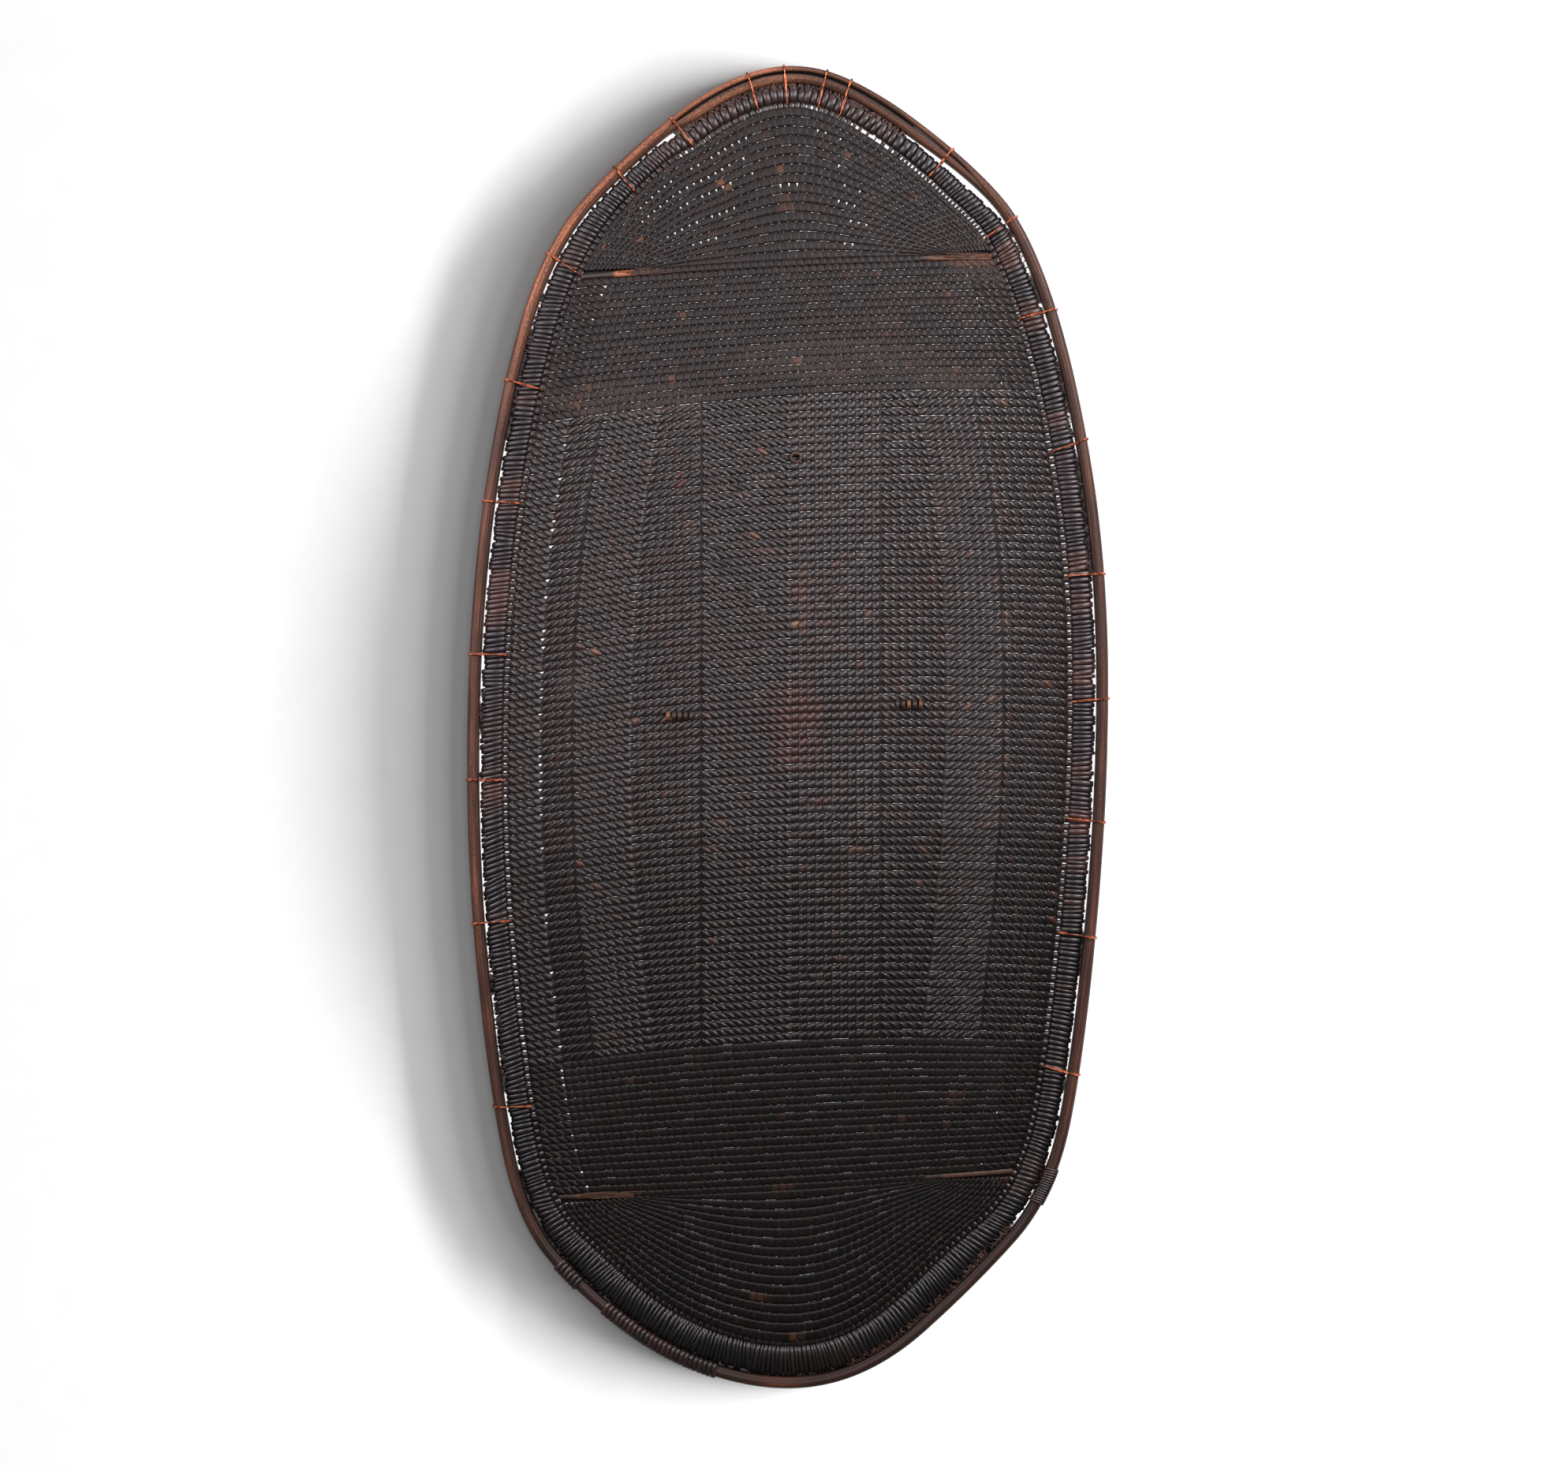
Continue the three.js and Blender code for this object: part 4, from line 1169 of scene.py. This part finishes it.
def carvedWood(name, look):
    # long grain with darker rings, worn smooth by the hand
    material, shader, s = newFinish(name)
    figure = speckle(s["grain"] * (0.03, 0.35, 0.35), 1.0, 5.0, 0.6)
    pore = speckle(s["grain"] * (0.25, 3.0, 3.0), 1.0, 2.0)
    colour = figure.between(0.35, 0.65).choose(look["dark"], look["light"])
    colour = colour * s["bright"] * (0.7 + 0.6 * pore)
    finishWith(shader, colour, 0.42 + 0.25 * pore, pore, 0.00015, 0.15)
    return material


gripFinish = carvedWood("carved_grip_wood", woodLook)
# The grip follows the slope of the rows: a bar with a pad at each end that narrows to a tongue.
grip = {
    "y": 14.5, "slope": 0.05, "halfLength": 124, "barLow": 3, "barHigh": 21, "halfWidth": 12,
    "tongueHalf": 3.4, "tipDepth": 14, "sag": 1.3, "panelThickness": 7.5, "barEnd": 64, "padInner": 86,
    "clearance": 0.2, "shoulder": 28, "narrowFrom": 68, "narrowOver": 13, "tipRound": 5,
}
gripReach = np.linspace(-grip["halfLength"], grip["halfLength"], 90)
away = np.abs(gripReach)
underPanel = domeTop(away, grip["y"] + grip["halfWidth"])
underPanel = underPanel - grip["panelThickness"] - grip["sag"] - grip["clearance"]
tipLow = underPanel[0] - grip["tipDepth"]
past = (away - grip["barEnd"]) / (grip["halfLength"] - grip["barEnd"])
heel = np.where(past < 0, grip["barLow"], mix(grip["barLow"], tipLow, past))
shoulder = smoothStep((away - (grip["padInner"] - grip["shoulder"])) / grip["shoulder"])
top = mix(grip["barHigh"], underPanel, shoulder)
narrowing = smoothStep((away - grip["narrowFrom"]) / grip["narrowOver"])
halfWide = mix(grip["halfWidth"], grip["tongueHalf"], narrowing)
cy, cz = squircle(roundAngles(18), 3.0)
tip = np.sqrt(np.clip((grip["halfLength"] + 0.5 - away) / grip["tipRound"], 0.1, 1))
sideways = halfWide[:, None] * cy * tip[:, None]
z = (heel + top)[:, None] / 2 + (top - heel)[:, None] / 2 * cz * mix(0.8, 1, tip)[:, None]
tilt = math.atan(grip["slope"])
x = gripReach[:, None] * math.cos(tilt) - sideways * math.sin(tilt)
y = grip["y"] + gripReach[:, None] * math.sin(tilt) + sideways * math.cos(tilt)
gather = Gather()
gather.tube(packed(x, y, z), False, (1.0, 0.0, 1.0, 0.0), packed(gripReach[:, None], sideways, z))
gather.make("carved_grip", gripFinish, "grip_wood", "hand_grip")
print("grip carved")

ground = {
    "half": 5000.0, "level": -0.2, "glow": 1.0, "plainGlow": 0.02,
    # the lit part's edge inside the rim where daylight shows there and where it doesn't, and a ring between
    "litInset": 6.0, "darkInset": 25.0, "middleInset": 3.0,
}
# Stretches along the rim where daylight shows between it and the edge roll.
daylightGaps = [
    (118, 248), (258, 300), (325, 382), (430, 470), (580, 905), (945, 1045), (1055, 1118), (1142, 1192),
    (1795, 1868), (1890, 1960), (1980, 2205), (2225, 2262), (2266, 2465), (2575, 2600), (2607, 2802),
]


def paperFinish(name, glow):
    # plain pale paper with a faint tooth
    material = bpy.data.materials.new(name)
    material.use_nodes = True
    shader = material.node_tree.nodes["Principled BSDF"]
    place = Dye(material.node_tree).node("ShaderNodeTexCoord", {}, {}, "Object")
    tooth = speckle(place, 30.0)
    colour = tooth.choose(tone(240, 240, 240), tone(246, 246, 246))
    colour.plug(shader.inputs["Base Color"], colour)
    colour.plug(shader.inputs["Roughness"], 0.85 + 0.1 * tooth)
    shader.inputs["Emission Color"].default_value = (1, 1, 1, 1)
    shader.inputs["Emission Strength"].default_value = glow
    return material


# The floor is one sheet; the part of it under the shield glows, so that the stitch holes show.
gapOpen = sum(fade(stationDistance, start, end, 4) for start, end in daylightGaps)
inner = insetPoint(stationDistance, mix(ground["darkInset"], ground["litInset"], gapOpen))
count = len(inner)
middle = insetPoint(stationDistance, ground["middleInset"])
outer = middle * (ground["half"] / np.abs(middle).max(1, keepdims=True))
points = np.concatenate([inner, middle, outer]) + shift[:2]
points = np.column_stack([points, np.full(len(points), ground["level"])]) * mm
k = np.arange(count)
ringFaces = np.stack([k, (k + 1) % count, (k + 1) % count + count, k + count], -1)
ringFaces = np.concatenate([ringFaces, ringFaces + count])
sheet = bpy.data.meshes.new("floor")
sheet.from_pydata(points.tolist(), [], ringFaces.tolist() + [list(range(count))[::-1]])
sheet.materials.append(paperFinish("pale_paper", ground["plainGlow"]))
sheet.materials.append(paperFinish("lit_paper", ground["glow"]))
sheet.polygons[2 * count].material_index = 1
floor = bpy.data.objects.new("floor", sheet)
bpy.context.scene.collection.objects.link(floor)
floor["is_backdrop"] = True


def areaLight(name, place, aim, width, height, power, colour=(1.0, 0.93, 0.95)):
    lamp = bpy.data.lights.new(name, "AREA")
    lamp.shape = "RECTANGLE"
    lamp.size, lamp.size_y = width, height
    lamp.energy = power
    lamp.color = colour
    holder = bpy.data.objects.new(name, lamp)
    holder.location = place
    direction = np.array(aim, float) - np.array(place, float)
    holder.rotation_euler = mathutils.Vector(direction).to_track_quat("-Z", "Y").to_euler()
    bpy.context.scene.collection.objects.link(holder)
    return holder


white = (1, 1, 1)
# The shield has a soft key from the upper right, a weaker box on the left and one beyond its top. The floor
# has lights of its own that draw the long soft shadow to the left.
shieldLights = [
    areaLight("key_light", (0.95, 0.85, 1.0), (0, 0.2, 0), 0.4, 0.6, 15),
    areaLight("left_box", (-1.3, 0.6, 1.0), (0, 0.15, 0), 0.35, 0.8, 11),
    areaLight("upper_left_box", (-0.9, 0.75, 1.9), (0, 0.3, 0), 0.2, 0.4, 18),
    areaLight("upper_right_box", (1.0, 0.7, 1.9), (0, 0.3, 0), 0.2, 0.4, 18),
    areaLight("top_box", (0.0, 1.9, 0.8), (0, 0.3, 0), 1.2, 0.4, 9),
]
floorLights = [
    areaLight("low_floor_light", (10.0, 0.0, 1.87), (0.0, 0.0, 0.0), 8.6, 0.75, 4400, white),
    areaLight("middle_floor_light", (6.0, 0.0, 2.0), (0.0, 0.0, 0.0), 5.0, 1.25, 285, white),
    areaLight("high_floor_light", (2.6, 0.0, 1.55), (0.0, 0.0, 0.0), 3.0, 2.0, 44, white),
    areaLight("overhead_floor_light", (0.0, 0.0, 3.6), (0.0, 0.0, 0.0), 3.0, 3.0, 16, white),
]
onlyFloor = bpy.data.collections.new("only_floor")
onlyFloor.objects.link(floor)
for light in floorLights:
    light.light_linking.receiver_collection = onlyFloor
onlyShield = bpy.data.collections.new("only_shield")
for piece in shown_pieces():
    onlyShield.objects.link(piece)
for light in shieldLights:
    light.light_linking.receiver_collection = onlyShield

world = bpy.data.worlds.new("studio")
world.use_nodes = True
background = world.node_tree.nodes["Background"]
background.inputs["Color"].default_value = (1, 1, 1, 1)
background.inputs["Strength"].default_value = 0.12
bpy.context.scene.world = world

# The camera looks straight down.
viewer = {"place": (-4.8, -8.2, 3369.0), "lens": 85, "sensor": 36}
camera = bpy.data.objects.new("camera", bpy.data.cameras.new("camera"))
camera.data.lens = viewer["lens"]
camera.data.sensor_width = viewer["sensor"]
camera.location = (np.array(viewer["place"]) + shift) * mm
bpy.context.scene.collection.objects.link(camera)
bpy.context.scene.camera = camera
bpy.context.scene.view_settings.view_transform = "Standard"
print("lights and camera set")
